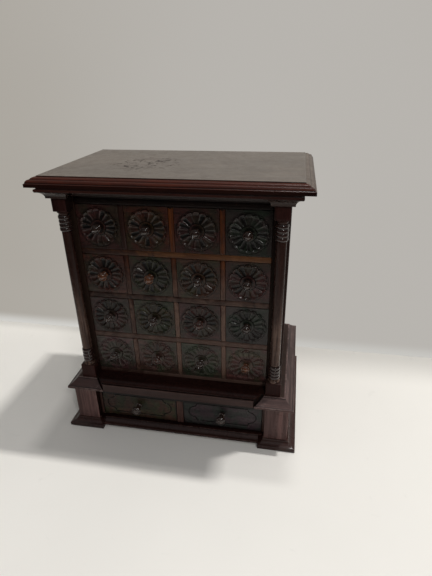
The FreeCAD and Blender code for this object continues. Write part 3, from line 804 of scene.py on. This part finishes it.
def makeFoot():
    look = foot
    wide, high, fillet = look["front"], span("plinth_moulding")[1].z, look["fillet"]
    steps = [(0, 0), (wide, 0), (wide, fillet), (0.84 * wide, fillet + 1.2),
             (0.16 * wide, high - 2.0, 0.4 * wide, fillet + 4.6), (0.16 * wide, high), (0, high)]
    inner, outer, front = look["postInner"], look["postOuter"], look["postFront"]
    side, turn = look["side"], look["turn"]
    path = [(inner, rail["front"], -turn, 0), (inner, -front, -turn, -wide),
            (outer, -front, side, -wide), (outer, front, side, wide), (-outer, front, -side, wide),
            (-outer, -front, -side, -wide), (-inner, -front, turn, -wide), (-inner, rail["front"], turn, 0)]
    part = sweepAlong(easedProfile(steps, 0.7, 2.2), path, False, True, 1.0 / wide)
    makePiece("footMoulding", splitRuns(part, "baseMoulding", outer, front), "plinth_moulding")

    look = rail
    half, face, low, high = look["half"], look["front"], look["foot"], look["head"]
    out, fillet = look["stripOut"], low + look["fillet"]
    steps = [(0, low), (out, low), (out, fillet), (out - 2.5, fillet),
             (2.0, high - 2.0, 6.0, fillet + 3.1), (2.0, high), (0, high)]
    run = look["stripHalf"]
    strip = sweepAlong(easedProfile(steps, 0.6, 2.0), [(-run, face, 0, -1), (run, face, 0, -1)], False)
    lowRail = easedBoard((-half, face, low), (half, look["back"], high), look["ease"])
    topRail = easedBoard((-half, look["topFront"], look["topFoot"]),
                         (half, look["topBack"], span("base_posts")[1].z), look["ease"])
    makePiece("baseRails", [(lowRail, "waistCrown"), (strip, "baseMoulding"), (topRail, "sideBoards")],
              "base_rails")


makeFoot()
print("mouldings run")


# Turned work

def turnedPart(profile, segments, middle=(0.0, 0.0, 0.0), outward=False):
    part = newPart()
    rings = []
    for radius, up, wear, dirt in profile:
        ring = []
        for k in range(segments if radius > 0.01 else 1):
            angle = math.tau * k / segments
            x, y, z = radius * math.cos(angle), radius * math.sin(angle), up
            if outward:
                x, y, z = x, -z, y
            ring.append(len(part["points"]))
            addPoint(part, [a + b for a, b in zip((x, y, z), middle)], wear, dirt)
        rings.append(ring)
    for low, high in zip(rings, rings[1:]):
        for k in range(segments):
            corners = [low[k % len(low)], low[(k + 1) % len(low)],
                       high[(k + 1) % len(high)], high[k % len(high)]]
            part["faces"].append(list(dict.fromkeys(corners)))
    return part


def keptGeometry(tree, geometry, wear, dirt, material):
    for name, value in ((wearName, wear), (dirtName, dirt)):
        geometry = addNode(tree, "GeometryNodeStoreNamedAttribute",
                           {"data_type": "FLOAT", "domain": "POINT"},
                           {"Geometry": geometry, "Name": name, "Value": value}).outputs[0]
    real = addNode(tree, "GeometryNodeRealizeInstances", {}, {0: geometry}).outputs[0]
    return addNode(tree, "GeometryNodeSetMaterial", {}, {"Geometry": real, "Material": material}).outputs[0]


def makeRingTree():
    tree, given, result = newGroup(
        "ringStack", "GeometryNodeTree",
        {"Geometry": "Geometry", "Rings": 4, "Ring Radius": 0.0117, "Ring Height": 0.0085,
         "Ring Bulge": 0.0016, "Unevenness": 0.03, "Seed": 3, "Wood": "Material"}, ["Geometry"])

    def circle(resolution, radius):
        return addNode(tree, "GeometryNodeCurvePrimitiveCircle", {},
                       {"Resolution": resolution, "Radius": radius}).outputs[0]

    line = addNode(tree, "GeometryNodeMeshLine", {"mode": "OFFSET"},
                   {"Count": given["Rings"], "Offset": combine(tree, z=given["Ring Height"])}).outputs[0]
    halfHigh = mathNode(tree, "DIVIDE", given["Ring Height"], times(tree, given["Ring Bulge"], 2.04))
    section = addNode(tree, "GeometryNodeTransform", {},
                      {"Geometry": circle(14, given["Ring Bulge"]),
                       "Scale": combine(tree, 1.0, halfHigh, 1.0)}).outputs[0]
    ring = addNode(tree, "GeometryNodeCurveToMesh", {},
                   {"Curve": circle(40, given["Ring Radius"]), "Profile Curve": section}).outputs[0]
    low = minus(tree, 1.0, given["Unevenness"])
    size = addNode(tree, "FunctionNodeRandomValue", {"data_type": "FLOAT_VECTOR"},
                   {0: combine(tree, low, low, 1.0), 1: (1.0, 1.0, 1.0), "Seed": given["Seed"]}).outputs[0]
    spread = addNode(tree, "GeometryNodeInstanceOnPoints", {},
                     {"Points": line, "Instance": ring, "Scale": size}).outputs[0]
    real = addNode(tree, "GeometryNodeRealizeInstances", {}, {0: spread}).outputs[0]
    place = addNode(tree, "GeometryNodeInputPosition").outputs[0]
    flat = vectorNode(tree, "MULTIPLY", place, (1.0, 1.0, 0.0))
    share = mathNode(tree, "DIVIDE", vectorNode(tree, "LENGTH", flat, output="Value"),
                     plus(tree, given["Ring Radius"], given["Ring Bulge"]))
    wear, dirt = rangeNode(tree, share, 0.93, 1.0), rangeNode(tree, share, 0.93, 0.86)
    return giveOut(tree, result, Geometry=keptGeometry(tree, real, wear, dirt, given["Wood"]))


def grownPart(mesh, tree, values):
    blank = addObject("blank", mesh)
    modifier = blank.modifiers.new("shaping", "NODES")
    modifier.node_group = tree
    names = {item.name: item.identifier for item in tree.interface.items_tree
             if item.item_type == "SOCKET" and item.in_out == "INPUT"}
    for name, value in values.items():
        modifier[names[name]] = value
    bpy.context.view_layer.update()
    depsgraph = bpy.context.evaluated_depsgraph_get()
    grown = bpy.data.meshes.new_from_object(blank.evaluated_get(depsgraph),
                                            preserve_all_data_layers=True, depsgraph=depsgraph)
    bpy.data.objects.remove(blank)
    part = {"points": [tuple(point.co) for point in grown.vertices],
            "faces": [list(face.vertices) for face in grown.polygons]}
    for key, name in (("wear", wearName), ("dirt", dirtName)):
        part[key] = [0.0] * len(grown.vertices)
        grown.attributes[name].data.foreach_get("value", part[key])
    return part


column = {"middleX": 222.5, "middleY": -147.4, "flare": 9.0, "rings": 4, "ringHeight": 8.5,
          "ringRadius": 13.2, "bulge": 1.7, "neck": 10.0, "shaftFoot": 11.2, "shaftHead": 10.4,
          "segments": 56, "fade": 0.75, "fadeFrom": 430.0, "fadeOver": 130.0, "seeds": (5, 9),
          "sharpAngle": 50.0}


def makeColumns():
    look = column
    tree = makeRingTree()
    ringHeight, bulge, shaft = look["ringHeight"], look["bulge"], look["shaftFoot"]
    stack = look["rings"] * ringHeight
    low, high = (corner.z for corner in span("left_column"))
    neck, ring = look["neck"], look["ringRadius"]
    lowStack, highStack = low + look["flare"], high - look["flare"] - stack
    lowEnd = lowStack + stack
    steps = [(0, low), (ring, low), (ring, low + 3.0), (neck + 0.4, lowStack - 1.6, neck + 1.0, low + 5.6),
             (neck + 0.4, lowStack), (neck, lowEnd), (shaft, lowEnd + 4.0, neck + 0.8, lowEnd + 1.5),
             (shaft - 0.2, 300.0), (shaft - 0.5, 430.0),
             (look["shaftHead"], highStack - 4.0), (neck, highStack, neck + 0.3, highStack - 1.5),
             (neck, highStack + stack), (neck + 0.4, high - look["flare"] + 1.0),
             (ring, high - 3.0, neck + 1.0, high - 5.6), (ring, high), (0, high)]
    profile = easedProfile(steps, 0.5, 3.0, closed=False)

    def bareAt(z):
        return look["fade"] * min(1.0, max(0.0, (look["fadeFrom"] - z / mm) / look["fadeOver"]))

    for name, side, seed in (("left", -1, look["seeds"][0]), ("right", 1, look["seeds"][1])):
        x, y = side * look["middleX"], look["middleY"]
        turned = turnedPart(profile, look["segments"], (x, y, 0.0))
        turned["bare"] = [bareAt(point[2]) for point in turned["points"]]
        parts = [(turned, "columnMahogany")]
        for k, start in enumerate((lowStack, highStack)):
            rings = grownPart(bpy.data.meshes.new("rings"), tree,
                              {"Rings": look["rings"], "Ring Radius": (ring - bulge) * mm,
                               "Ring Height": ringHeight * mm, "Ring Bulge": bulge * mm,
                               "Seed": seed + k, "Wood": materials["turnedRings"]})
            parts.append((movedPart(rings, x * mm, y * mm, (start + ringHeight / 2) * mm), "turnedRings"))
        makePiece(name + "Column", parts, name + "_column", sharpAngle=look["sharpAngle"])


makeColumns()
print("columns turned")

knob = {"segments": 40, "ease": 0.35, "fade": 2.5,
        "small": [
            (0, 0), (7.5, 0), (7.5, 1.3), (3.9, 4.0, 4.9, 2.2), (3.8, 6.6), (9.3, 10.3, 5.2, 9.2),
            (10.2, 12.6, 10.1, 11.4), (9.4, 15.3, 10.1, 14.4), (7.9, 15.6, 8.7, 15.9), (7.3, 14.9),
            (6.7, 15.5), (3.6, 17.6, 5.4, 16.9), (0, 18.5, 2.0, 18.3)],
        "large": [
            (0, 0), (8.0, 0), (8.0, 1.6), (4.3, 4.8, 5.3, 2.8), (4.2, 12.8), (10.5, 17.3, 5.8, 16.2),
            (11.4, 20.1, 11.3, 18.6), (10.5, 23.1, 11.3, 22.1), (8.8, 23.5, 9.7, 23.8), (8.1, 22.7),
            (7.4, 23.4), (4.0, 25.7, 6.0, 24.9), (0, 26.7, 2.2, 26.4)]}


def makeKnob(name, kind, seat, replaced, body, stain):
    profile = easedProfile(knob[kind], knob["ease"], knob["fade"], closed=False)
    makePiece(name, [(turnedPart(profile, knob["segments"], seat, True), "knobWood")], replaced,
              body, tint=knobStains[stain])


carving = {"petals": 16, "stepsPerPetal": 10, "edgeRadius": 36.4, "tipRadius": 40.4, "rootRadius": 17.2,
           "ridgeHeight": 2.8, "rimHeight": 2.7, "hollowHeight": 0.15, "sharpness": 3.6,
           "bossHeight": 3.2, "lineRadius": 43.2, "lineDepth": 0.55,
           "ridgeCurve": [(0, 0.5), (0.3, 0.7), (0.75, 1.0), (1, 0.9)],
           "rimCurve": [(0, 0.3), (0.2, 0.05), (0.62, 0.0), (0.78, 0.08), (0.9, 0.75), (0.96, 1.0),
                        (1, 0.9)],
           "petalRows": (0.0, 0.12, 0.26, 0.4, 0.54, 0.66, 0.76, 0.84, 0.9, 0.95, 0.985, 1.0)}


def makeCarvingTree():
    tree, given, result = newGroup(
        "petalCarving", "GeometryNodeTree",
        {"Geometry": "Geometry", "Ridge Height": 0.0027, "Rim Height": 0.0023, "Hollow Height": 0.0004,
         "Ridge Sharpness": 2.4, "Relief": 1.0, "Hand Jitter": 0.3, "Gouge Depth": 0.0009, "Seed": 0,
         "Stain": "Material"}, ["Geometry"])

    def read(name, kind="FLOAT"):
        return addNode(tree, "GeometryNodeInputNamedAttribute", {"data_type": kind},
                       {"Name": name}).outputs["Attribute"]

    def curve(value, points):
        node = addNode(tree, "ShaderNodeFloatCurve", {}, {"Value": value})
        shape = node.mapping.curves[0]
        shape.points[0].location, shape.points[1].location = points[0], points[-1]
        for point in points[1:-1]:
            shape.points.new(*point)
        node.mapping.update()
        return node.outputs[0]

    def perPetal(low, high, turn):     # a value drawn once for each petal
        return addNode(tree, "FunctionNodeRandomValue", {"data_type": "FLOAT"},
                       {2: low, 3: high, "ID": read("petalNumber", "INT"),
                        "Seed": plus(tree, given["Seed"], turn)}).outputs[1]

    along, petal = read("petalAlong"), read("petalShare")
    jitter = given["Hand Jitter"]
    factor = perPetal(minus(tree, 1.0, jitter), plus(tree, 1.0, jitter), 0.0)
    ridge = times(tree, curve(along, carving["ridgeCurve"]), given["Ridge Height"])
    rise = times(tree, curve(along, carving["rimCurve"]), times(tree, given["Rim Height"], factor))
    hollow = plus(tree, rise, given["Hollow Height"])
    ridge = times(tree, ridge, perPetal(0.78, 1.0, 40.0))
    crest = mathNode(tree, "POWER", read("petalAcross"), given["Ridge Sharpness"])
    height = plus(tree, hollow, times(tree, crest, minus(tree, ridge, hollow)))
    gouge = addNode(tree, "ShaderNodeTexNoise", {"noise_dimensions": "4D"},
                    {"Vector": addNode(tree, "GeometryNodeInputPosition").outputs[0],
                     "W": given["Seed"], "Scale": 210.0, "Detail": 2.0}).outputs["Fac"]
    height = mathNode(tree, "MAXIMUM", plus(tree, height, swing(tree, gouge, given["Gouge Depth"])), 0.0)
    height = times(tree, times(tree, height, petal), given["Relief"])
    total = plus(tree, height, read("plainHeight"))
    carved = addNode(tree, "GeometryNodeSetPosition", {},
                     {"Geometry": given["Geometry"],
                      "Offset": combine(tree, y=times(tree, total, -1.0))}).outputs[0]
    share = mathNode(tree, "DIVIDE", height, given["Ridge Height"])
    # High rims are lightened as wear and deep hollows darkened as dirt: partly real wear and dirt, partly
    # painted highlight and painted shade that deepen the carving's shading
    high = times(tree, rangeNode(tree, share, 0.78, 1.0), perPetal(-0.3, 1.3, 80.0), True)
    deep = times(tree, rangeNode(tree, share, 0.5, 0.12), perPetal(0.2, 1.7, 120.0))
    rubbed = mathNode(tree, "MAXIMUM", read("plainWear"), times(tree, high, petal))
    dirty = mathNode(tree, "MAXIMUM", read("plainDirt"), times(tree, times(tree, deep, petal), 0.6))
    dirty = times(tree, dirty, mathNode(tree, "POWER", given["Relief"], 2.0))
    return giveOut(tree, result, Geometry=keptGeometry(tree, carved, rubbed, dirty, given["Stain"]))


def carvingBlank(width, height, depth):
    look = carving
    steps = look["stepsPerPetal"]
    count = look["petals"] * steps
    points = [(0.0, 0.0, 0.0)]
    values = {"plainHeight": [look["bossHeight"] * mm], "petalAlong": [0.0], "petalAcross": [0.0],
              "petalShare": [0.0], "plainWear": [0.0], "plainDirt": [0.0], "petalNumber": [0]}

    def onCircle(k, radius):
        angle = math.tau * k / count
        return radius * math.cos(angle), radius * math.sin(angle)

    def onEdge(k, inset):
        c, s = onCircle(k, 1.0)
        reach = max(abs(c), abs(s))
        return c / reach * (width / 2 - inset), s / reach * (height / 2 - inset)

    def acrossAt(k):
        return abs((k + steps // 2) % steps - steps / 2) / (steps / 2)

    def outerRadius(k):
        bow = math.sqrt(max(0.0, 1 - acrossAt(k) ** 2.4))
        return look["edgeRadius"] + (look["tipRadius"] - look["edgeRadius"]) * bow

    def addRow(spot, up=0.0, back=0.0, along=0.0, share=0.0, wear=0.0, dirt=0.0):
        for k in range(count):
            x, z = spot(k)
            points.append((x * mm, back * mm, z * mm))
            spotValues = {"plainHeight": up * mm, "petalAlong": along, "petalAcross": acrossAt(k),
                          "petalShare": share, "plainWear": wear, "plainDirt": dirt,
                          "petalNumber": (k + steps // 2) // steps % look["petals"]}
            for key, value in spotValues.items():
                values[key].append(value)

    boss, root = look["bossHeight"], look["rootRadius"]
    for radius, up, wear, dirt in ((4.0, boss, 0, 0.7), (8.2, boss, 0, 0.7), (11.0, boss - 0.15, 0, 0.6),
                                   (13.2, boss - 0.1, 0, 0.45), (14.6, boss, 0.5, 0),
                                   (15.3, boss - 0.15, 1, 0), (15.7, boss - 0.7, 0.8, 0),
                                   (15.9, 1.2, 0, 0.6), (16.3, 0.25, 0, 1), (16.8, 0.3, 0, 1)):
        addRow(lambda k: onCircle(k, radius), up, wear=wear, dirt=dirt)
    for along in look["petalRows"]:
        addRow(lambda k: onCircle(k, root + (outerRadius(k) - root) * along), along=along, share=1.0,
               dirt=0.6 if along == 0 else 0.0)
    for beyond, share, dirt in ((0.45, 0.72, 0.2), (0.8, 0.25, 0.8), (1.0, 0.0, 1.0)):
        addRow(lambda k: onCircle(k, outerRadius(k) + beyond), along=1.0, share=share, dirt=dirt)
    line, deep = look["lineRadius"], look["lineDepth"]
    for beyond, up, dirt in ((-1.2, 0.0, 0.0), (-0.5, 0.0, 0.3), (-0.15, -deep, 1.0), (0.15, -deep, 1.0),
                             (0.5, 0.0, 0.3)):
        addRow(lambda k: onCircle(k, line + beyond), up, dirt=dirt)
    for inset, back, wear in ((1.0, 0.0, 0.0), (0.5, 0.0, 0.8), (0.15, 0.15, 1.0), (0.0, 0.5, 0.8),
                              (0.0, 3.0, 0.0), (0.0, depth - 0.5, 0.0), (0.4, depth, 0.0)):
        addRow(lambda k: onEdge(k, inset), back=back, wear=wear)

    faces = [[0, 1 + k, 1 + (k + 1) % count] for k in range(count)]
    faces += ringFaces(1, len(points) - count, count)
    mesh = bpy.data.meshes.new("carvingBlank")
    mesh.from_pydata(points, [], faces)
    for key, listed in values.items():
        kind = "INT" if key == "petalNumber" else "FLOAT"
        mesh.attributes.new(key, kind, "POINT").data.foreach_set("value", listed)
    return mesh


stains = {
    "plum": (0.0240, 0.0110, 0.0084), "redBrown": (0.028, 0.0115, 0.0060),
    "umber": (0.0255, 0.0143, 0.0062), "moss": (0.0160, 0.0146, 0.0062), "slate": (0.0128, 0.0132, 0.0105),
    "ash": (0.021, 0.0150, 0.0088), "steel": (0.0166, 0.0145, 0.0158)}
knobStains = {"dark": (0.022, 0.011, 0.007), "red": (0.045, 0.015, 0.009), "amber": (0.105, 0.033, 0.010)}
# Rows from the top down: the stains, how much lighter and how much greyer a row's stain is painted (painted
# sheen of the bright floor on the lower rows), and how proud its carving stands
smallDrawer = {
    "stains": [["plum", "redBrown", "plum", "slate"], ["redBrown", "ash", "umber", "plum"],
               ["plum", "moss", "plum", "slate"], ["plum", "umber", "ash", "redBrown"]],
    "knobs": [["dark", "dark", "dark", "dark"], ["amber", "amber", "dark", "dark"],
              ["dark", "dark", "red", "dark"], ["dark", "red", "dark", "amber"]],
    "fade": (1.2, 1.45, 1.45, 2.8), "sheenGrey": (0.0, 0.05, 0.1, 0.45), "relief": (1.0, 1.0, 0.9, 0.7),
    "width": 92.8, "front": 14.0, "side": 7.0, "bottom": 5.0, "drop": 18.0}


def boxBoards(look, height, length):
    half, head = look["width"] / 2, height - look["drop"]
    front, side, bottom = (look[key] for key in ("front", "side", "bottom"))
    return [easedBoard((-half, front, 0), (half, length, bottom), 0.5),
            easedBoard((-half, front, bottom), (-half + side, length, head), 0.6),
            easedBoard((half - side, front, bottom), (half, length, head), 0.6),
            easedBoard((-half + side, length - side, bottom), (half - side, length, head), 0.6)]


def makeDrawer(name, front, inner, place, replaced, body, stain):
    place = [v * mm for v in place]
    parts = [(movedPart(front, *place), "drawerFront")]
    parts += [(movedPart(part, *place), "drawerInside") for part in inner]
    makePiece(name, parts, replaced, body, tint=stain)


def makeSmallDrawers():
    look = smallDrawer
    tree = makeCarvingTree()
    boss = carving["bossHeight"]
    for row in range(4):
        for col in range(4):
            name = "r%dc%d" % (row + 1, col + 1)
            low, high = span("drawer_" + name)
            x, z, height = (low.x + high.x) / 2, low.z, high.z - low.z
            faceY = span("knob_" + name)[1].y + boss
            inner = boxBoards(look, height, high.y - faceY)
            front = grownPart(carvingBlank(look["width"], height, look["front"]), tree, {
                "Ridge Height": carving["ridgeHeight"] * mm, "Rim Height": carving["rimHeight"] * mm,
                "Hollow Height": carving["hollowHeight"] * mm, "Ridge Sharpness": carving["sharpness"],
                "Relief": look["relief"][row], "Seed": 4 * row + col, "Stain": materials["drawerFront"]})
            front = movedPart(front, 0, 0, height / 2 * mm)
            # Lower rows take lighter, greyer stains: painted sheen of the bright floor on their fronts
            stain = tuple(v * look["fade"][row] for v in stains[look["stains"][row][col]])
            middle = sum(stain) / 3
            stain = tuple(v + (middle - v) * look["sheenGrey"][row] for v in stain)
            body = "small_drawer_" + name
            makeDrawer("drawer_" + name, front, inner, (x, faceY, z), "drawer_" + name,
                       body, stain)
            makeKnob("knob_" + name, "small", (x, faceY - boss, z + height / 2), "knob_" + name, body,
                     look["knobs"][row][col])


makeDividers()
makeSmallDrawers()
print("small drawers carved")

baseDrawer = {"width": 191.5, "height": 77.7, "front": 16.0, "side": 8.0, "bottom": 5.0, "drop": 14.0,
              "faceY": -157.0, "backY": 157.0, "middleX": 104.35, "floor": 21.3,
              "length": 164.0, "high": 52.0, "notch": 11.0, "end": 9.0, "fade": 1.9}


def cartoucheLoop(grow):
    look = baseDrawer
    half, top = look["length"] / 2, look["high"] / 2
    shoulder, notchX = half - look["end"] - look["notch"], half - look["end"]
    notch = look["notch"] - grow
    lean = notch * math.sqrt(0.5)
    upper = [(shoulder * k / 8, top + grow) for k in range(8)] + [(shoulder + grow, top + grow)]
    upper += arcPoints(upper[-1], (notchX - lean, top - lean), (notchX, top - notch), 8)
    upper += arcPoints((notchX, top - notch), (half + grow, 0), (notchX, notch - top), 12)[:5]
    right = upper + [(half + grow, 0.0)] + [(x, -y) for x, y in upper[::-1]]
    return right[:-1] + [(-x, y) for x, y in right[::-1]][:-1]


def makeBaseDrawers():
    look = baseDrawer
    width, height, depth = look["width"], look["height"], look["front"]
    rim = []
    for x, z in cartoucheLoop(0.0):
        reach = max(abs(x) / (width / 2), abs(z) / (height / 2))
        rim.append((x / reach, z / reach))
    for cornerX in (-width / 2, width / 2):
        for cornerZ in (-height / 2, height / 2):
            apart = [(x - cornerX) ** 2 + (z - cornerZ) ** 2 for x, z in rim]
            rim[apart.index(min(apart))] = (cornerX, cornerZ)
    # Each loop: its corners, how deep it lies behind the face, its wear and its dirt; the dirt near the rim
    # paints the shadow of the gap round the drawer, along with real dirt
    loops = []
    for inset, deep, wear, dirt in ((0.4, depth, 0, 0), (0, depth - 0.5, 0, 0), (0, 3.0, 0, 0),
                                    (0, 0.7, 0.2, 1), (0.2, 0.2, 0.2, 1), (0.8, 0.0, 0.2, 0.9),
                                    (2.2, 0.0, 0, 0.55), (4.5, 0.0, 0, 0)):
        corners = [(x * (1 - 2 * inset / width), z * (1 - 2 * inset / height)) for x, z in rim]
        loops.append((corners, deep, wear, dirt))
    for grow, deep, wear, dirt in ((3.0, 0, 0, 0), (1.5, 0, 0.2, 0.3), (0.8, 0.3, 0, 0.8),
                                   (0.35, 1.2, 0, 1), (-0.35, 1.2, 0, 1), (-0.8, 0.3, 0, 0.8),
                                   (-1.5, 0, 0.2, 0.3), (-3.0, 0, 0, 0)):
        loops.append((cartoucheLoop(grow), deep, wear, dirt))
    front = newPart()
    count = len(rim)
    for corners, deep, wear, dirt in loops:
        for x, z in corners:
            addPoint(front, (x, deep, z + height / 2), wear, dirt)
    front["faces"] = [list(range(count))] + ringFaces(0, (len(loops) - 1) * count, count)
    inner = boxBoards(look, height, look["backY"] - look["faceY"])
    for name, side, stain in (("left", -1, "ash"), ("right", 1, "steel")):
        x, y, z = side * look["middleX"], look["faceY"], look["floor"]
        body = "base_drawer_%s_body" % name
        makeDrawer("baseDrawer_" + name, front, inner, (x, y, z), "base_drawer_" + name,
                   body, tuple(look["fade"] * v for v in stains[stain]))
        makeKnob("baseKnob_" + name, "large", (x, y, z + height / 2), "base_knob_" + name, body, "dark")


makeBaseDrawers()
print("base drawers cut")


# Floor, wall, lamps and camera

stage = {"floorColour": (0.86, 0.84, 0.80), "farColour": (0.05, 0.048, 0.046), "paleReach": (0.8, 1.4),
         "cloudShade": 0.97, "scuffShade": 0.88, "footTone": (0.80, 0.68), "footReach": (0.05, 0.16),
         "wallColour": (0.475, 0.455, 0.425), "wallShadowLeft": (0.405, 0.38, 0.34), "wallShadowTurn": (-0.75, 0.15),
         "wallCloud": (0.62, 0.60, 0.57), "wallClouding": 0.06, "bend": (0.0, 0.045),
         "bendColour": (0.57, 0.56, 0.53), "bendLeft": (0.63, 0.62, 0.59), "footTurn": (-0.5, 0.2),
         "reach": 4.0, "level": -0.0004, "wallFoot": 0.255, "wallHead": 2.0, "wallSunk": -0.01}


def stageMaterial(name, roughness, scuffs):
    # A matt sheet in the floor's colour, with clouds and scuffs
    material = bpy.data.materials.new(name)
    material.use_nodes = True
    tree = material.node_tree
    place = objectPlace(tree)
    colour = stage["floorColour"]
    cloudy, scuffed = (tuple(v * stage[key] for v in colour) for key in ("cloudShade", "scuffShade"))
    shade = mixColour(tree, pattern(tree, place, "clouds"), cloudy, colour)
    shade = mixColour(tree, times(tree, pattern(tree, place, "scuffs"), scuffs), shade, scuffed)
    shader = tree.nodes["Principled BSDF"]
    shader.inputs["Roughness"].default_value = roughness
    return material, tree, place, shade, shader


def floorMaterial():
    material, tree, place, shade, shader = stageMaterial("paleFloor", 0.7, 0.4)
    rightward = rangeNode(tree, axisOf(tree, place, "X"), *stage["footTurn"])
    reach, least = (rangeNode(tree, rightward, 0.0, 1.0, *stage[key], False)
                    for key in ("footReach", "footTone"))
    away = minus(tree, stage["wallFoot"], axisOf(tree, place, "Y"))
    rise = rangeNode(tree, mathNode(tree, "DIVIDE", away, reach), 0.0, 1.0, least, 1.0)
    shade = mixColour(tree, 1.0, shade, rise, "MULTIPLY")
    distance = vectorNode(tree, "LENGTH", place, output="Value")
    shade = mixColour(tree, rangeNode(tree, distance, *stage["paleReach"]), shade, stage["farColour"])
    shader.inputs["Specular IOR Level"].default_value = 0.2
    tree.links.new(shade, shader.inputs["Base Color"])
    return material


def wallMaterial():
    # The camera and glossy rays see the wall at its own tone, with a painted shadow darkening its left
    # side; as a light it is a plain matt sheet
    material, tree, place, shade, shader = stageMaterial("paleWall", 0.8, 0.1)
    tree.links.new(shade, shader.inputs["Base Color"])
    x, z = (axisOf(tree, place, axis) for axis in "XZ")
    turn, footTurn = (rangeNode(tree, x, *stage[key]) for key in ("wallShadowTurn", "footTurn"))
    # A darker tone on the left: a painted shadow of the cabinet on the wall
    tone = mixColour(tree, turn, stage["wallShadowLeft"], stage["wallColour"])
    clouds = times(tree, pattern(tree, place, "wallClouds"), stage["wallClouding"])
    tone = mixColour(tree, clouds, tone, stage["wallCloud"])
    footTone = mixColour(tree, footTurn, stage["bendLeft"], stage["bendColour"])
    tone = mixColour(tree, rangeNode(tree, z, *stage["bend"]), footTone, tone)
    glow = addNode(tree, "ShaderNodeEmission", {}, {"Color": tone})
    ray = addNode(tree, "ShaderNodeLightPath").outputs
    seen = mathNode(tree, "MAXIMUM", ray["Is Camera Ray"], ray["Is Glossy Ray"])
    seen = mathNode(tree, "MAXIMUM", seen, ray["Is Transmission Ray"])
    sheet = addNode(tree, "ShaderNodeMixShader", {}, {0: seen, 1: shader.outputs[0], 2: glow.outputs[0]})
    clear = addNode(tree, "ShaderNodeBsdfTransparent")
    behind = addNode(tree, "ShaderNodeNewGeometry").outputs["Backfacing"]
    through = mathNode(tree, "MAXIMUM", behind, ray["Is Shadow Ray"])
    thin = addNode(tree, "ShaderNodeMixShader", {}, {0: through, 1: sheet.outputs[0], 2: clear.outputs[0]})
    tree.links.new(thin.outputs[0], tree.nodes["Material Output"].inputs["Surface"])
    return material


def makeStage():
    reach, level, back = stage["reach"], stage["level"], stage["wallFoot"]
    low, head = stage["wallSunk"], stage["wallHead"]
    for name, material, near, far in (("floor", floorMaterial(), (-reach, level), (reach, level)),
                                      ("wall", wallMaterial(), (back, low), (back, head))):
        mesh = bpy.data.meshes.new(name)
        corners = [(-reach, *near), (reach, *near), (reach, *far), (-reach, *far)]
        mesh.from_pydata(corners, [], [(0, 1, 2, 3)])
        mesh.materials.append(material)
        addObject(name, mesh)


makeStage()

# Two high lamps behind the cabinet throw its shadow forward and left; the front lamp draws highlights
lamps = {
    "mainTube": {"place": (2.4, 1.25, 8.0), "aim": (2.4, 1.25, 0.0), "size": (0.6, 0.25), "power": 350.0,
                 "colour": (1.0, 0.985, 0.955)},
    "nearTube": {"place": (0.4, 1.05, 8.0), "aim": (0.4, 1.05, 0.0), "size": (0.6, 0.3), "power": 100.0,
                 "colour": (1.0, 0.985, 0.96)},
    "frontLamp": {"place": (0.8, -1.5, 1.5), "aim": (0.0, -0.1, 0.35), "size": (0.3, 0.2), "power": 8.0,
                  "colour": (1.0, 0.975, 0.94)},
}
# The room's own light comes from the ceiling
sky = {"low": 0.05, "high": 0.36, "between": (0.05, 0.9), "colour": (0.97, 0.98, 1.0)}


def makeLamps():
    for name, look in lamps.items():
        light = bpy.data.lights.new(name, "AREA")
        light.shape = "RECTANGLE"
        light.size, light.size_y = look["size"]
        light.energy, light.color = look["power"], look["colour"]
        lamp = addObject(name, light)
        lamp.location = look["place"]
        way = Vector(look["aim"]) - Vector(look["place"])
        lamp.rotation_euler = way.to_track_quat("-Z", "Y").to_euler()
    world = bpy.data.worlds.new("room")
    bpy.context.scene.world = world
    world.use_nodes = True
    tree = world.node_tree
    upward = axisOf(tree, addNode(tree, "ShaderNodeTexCoord").outputs["Generated"], "Z")
    strength = rangeNode(tree, upward, *sky["between"], sky["low"], sky["high"])
    background = tree.nodes["Background"]
    background.inputs["Color"].default_value = (*sky["colour"], 1.0)
    tree.links.new(strength, background.inputs["Strength"])


makeLamps()

viewpoint = {"place": (0.2405, -0.9363, 0.7967), "yaw": -10.603, "pitch": -26.51, "roll": -0.926,
             "focal": 430.1, "frameHeight": 576, "sensor": 36.0}


def makeCamera():
    look = viewpoint
    yaw, pitch, roll = (math.radians(look[key]) for key in ("yaw", "pitch", "roll"))
    ahead = Vector((math.sin(yaw) * math.cos(pitch), math.cos(yaw) * math.cos(pitch), math.sin(pitch)))
    level = ahead.cross(Vector((0, 0, 1))).normalized()
    upright = level.cross(ahead)
    right = level * math.cos(roll) + upright * math.sin(roll)
    up = upright * math.cos(roll) - level * math.sin(roll)
    data = bpy.data.cameras.new("camera")
    data.sensor_fit, data.sensor_height, data.clip_start = "VERTICAL", look["sensor"], 0.01
    data.lens = look["focal"] / look["frameHeight"] * look["sensor"]
    camera = addObject("camera", data)
    camera.matrix_world = Matrix([(right[k], up[k], -ahead[k], look["place"][k]) for k in range(3)]
                                 + [(0, 0, 0, 1)])
    bpy.context.scene.camera = camera


makeCamera()
bpy.context.scene.view_settings.view_transform = "Standard"
print("stage, lamps and camera set")
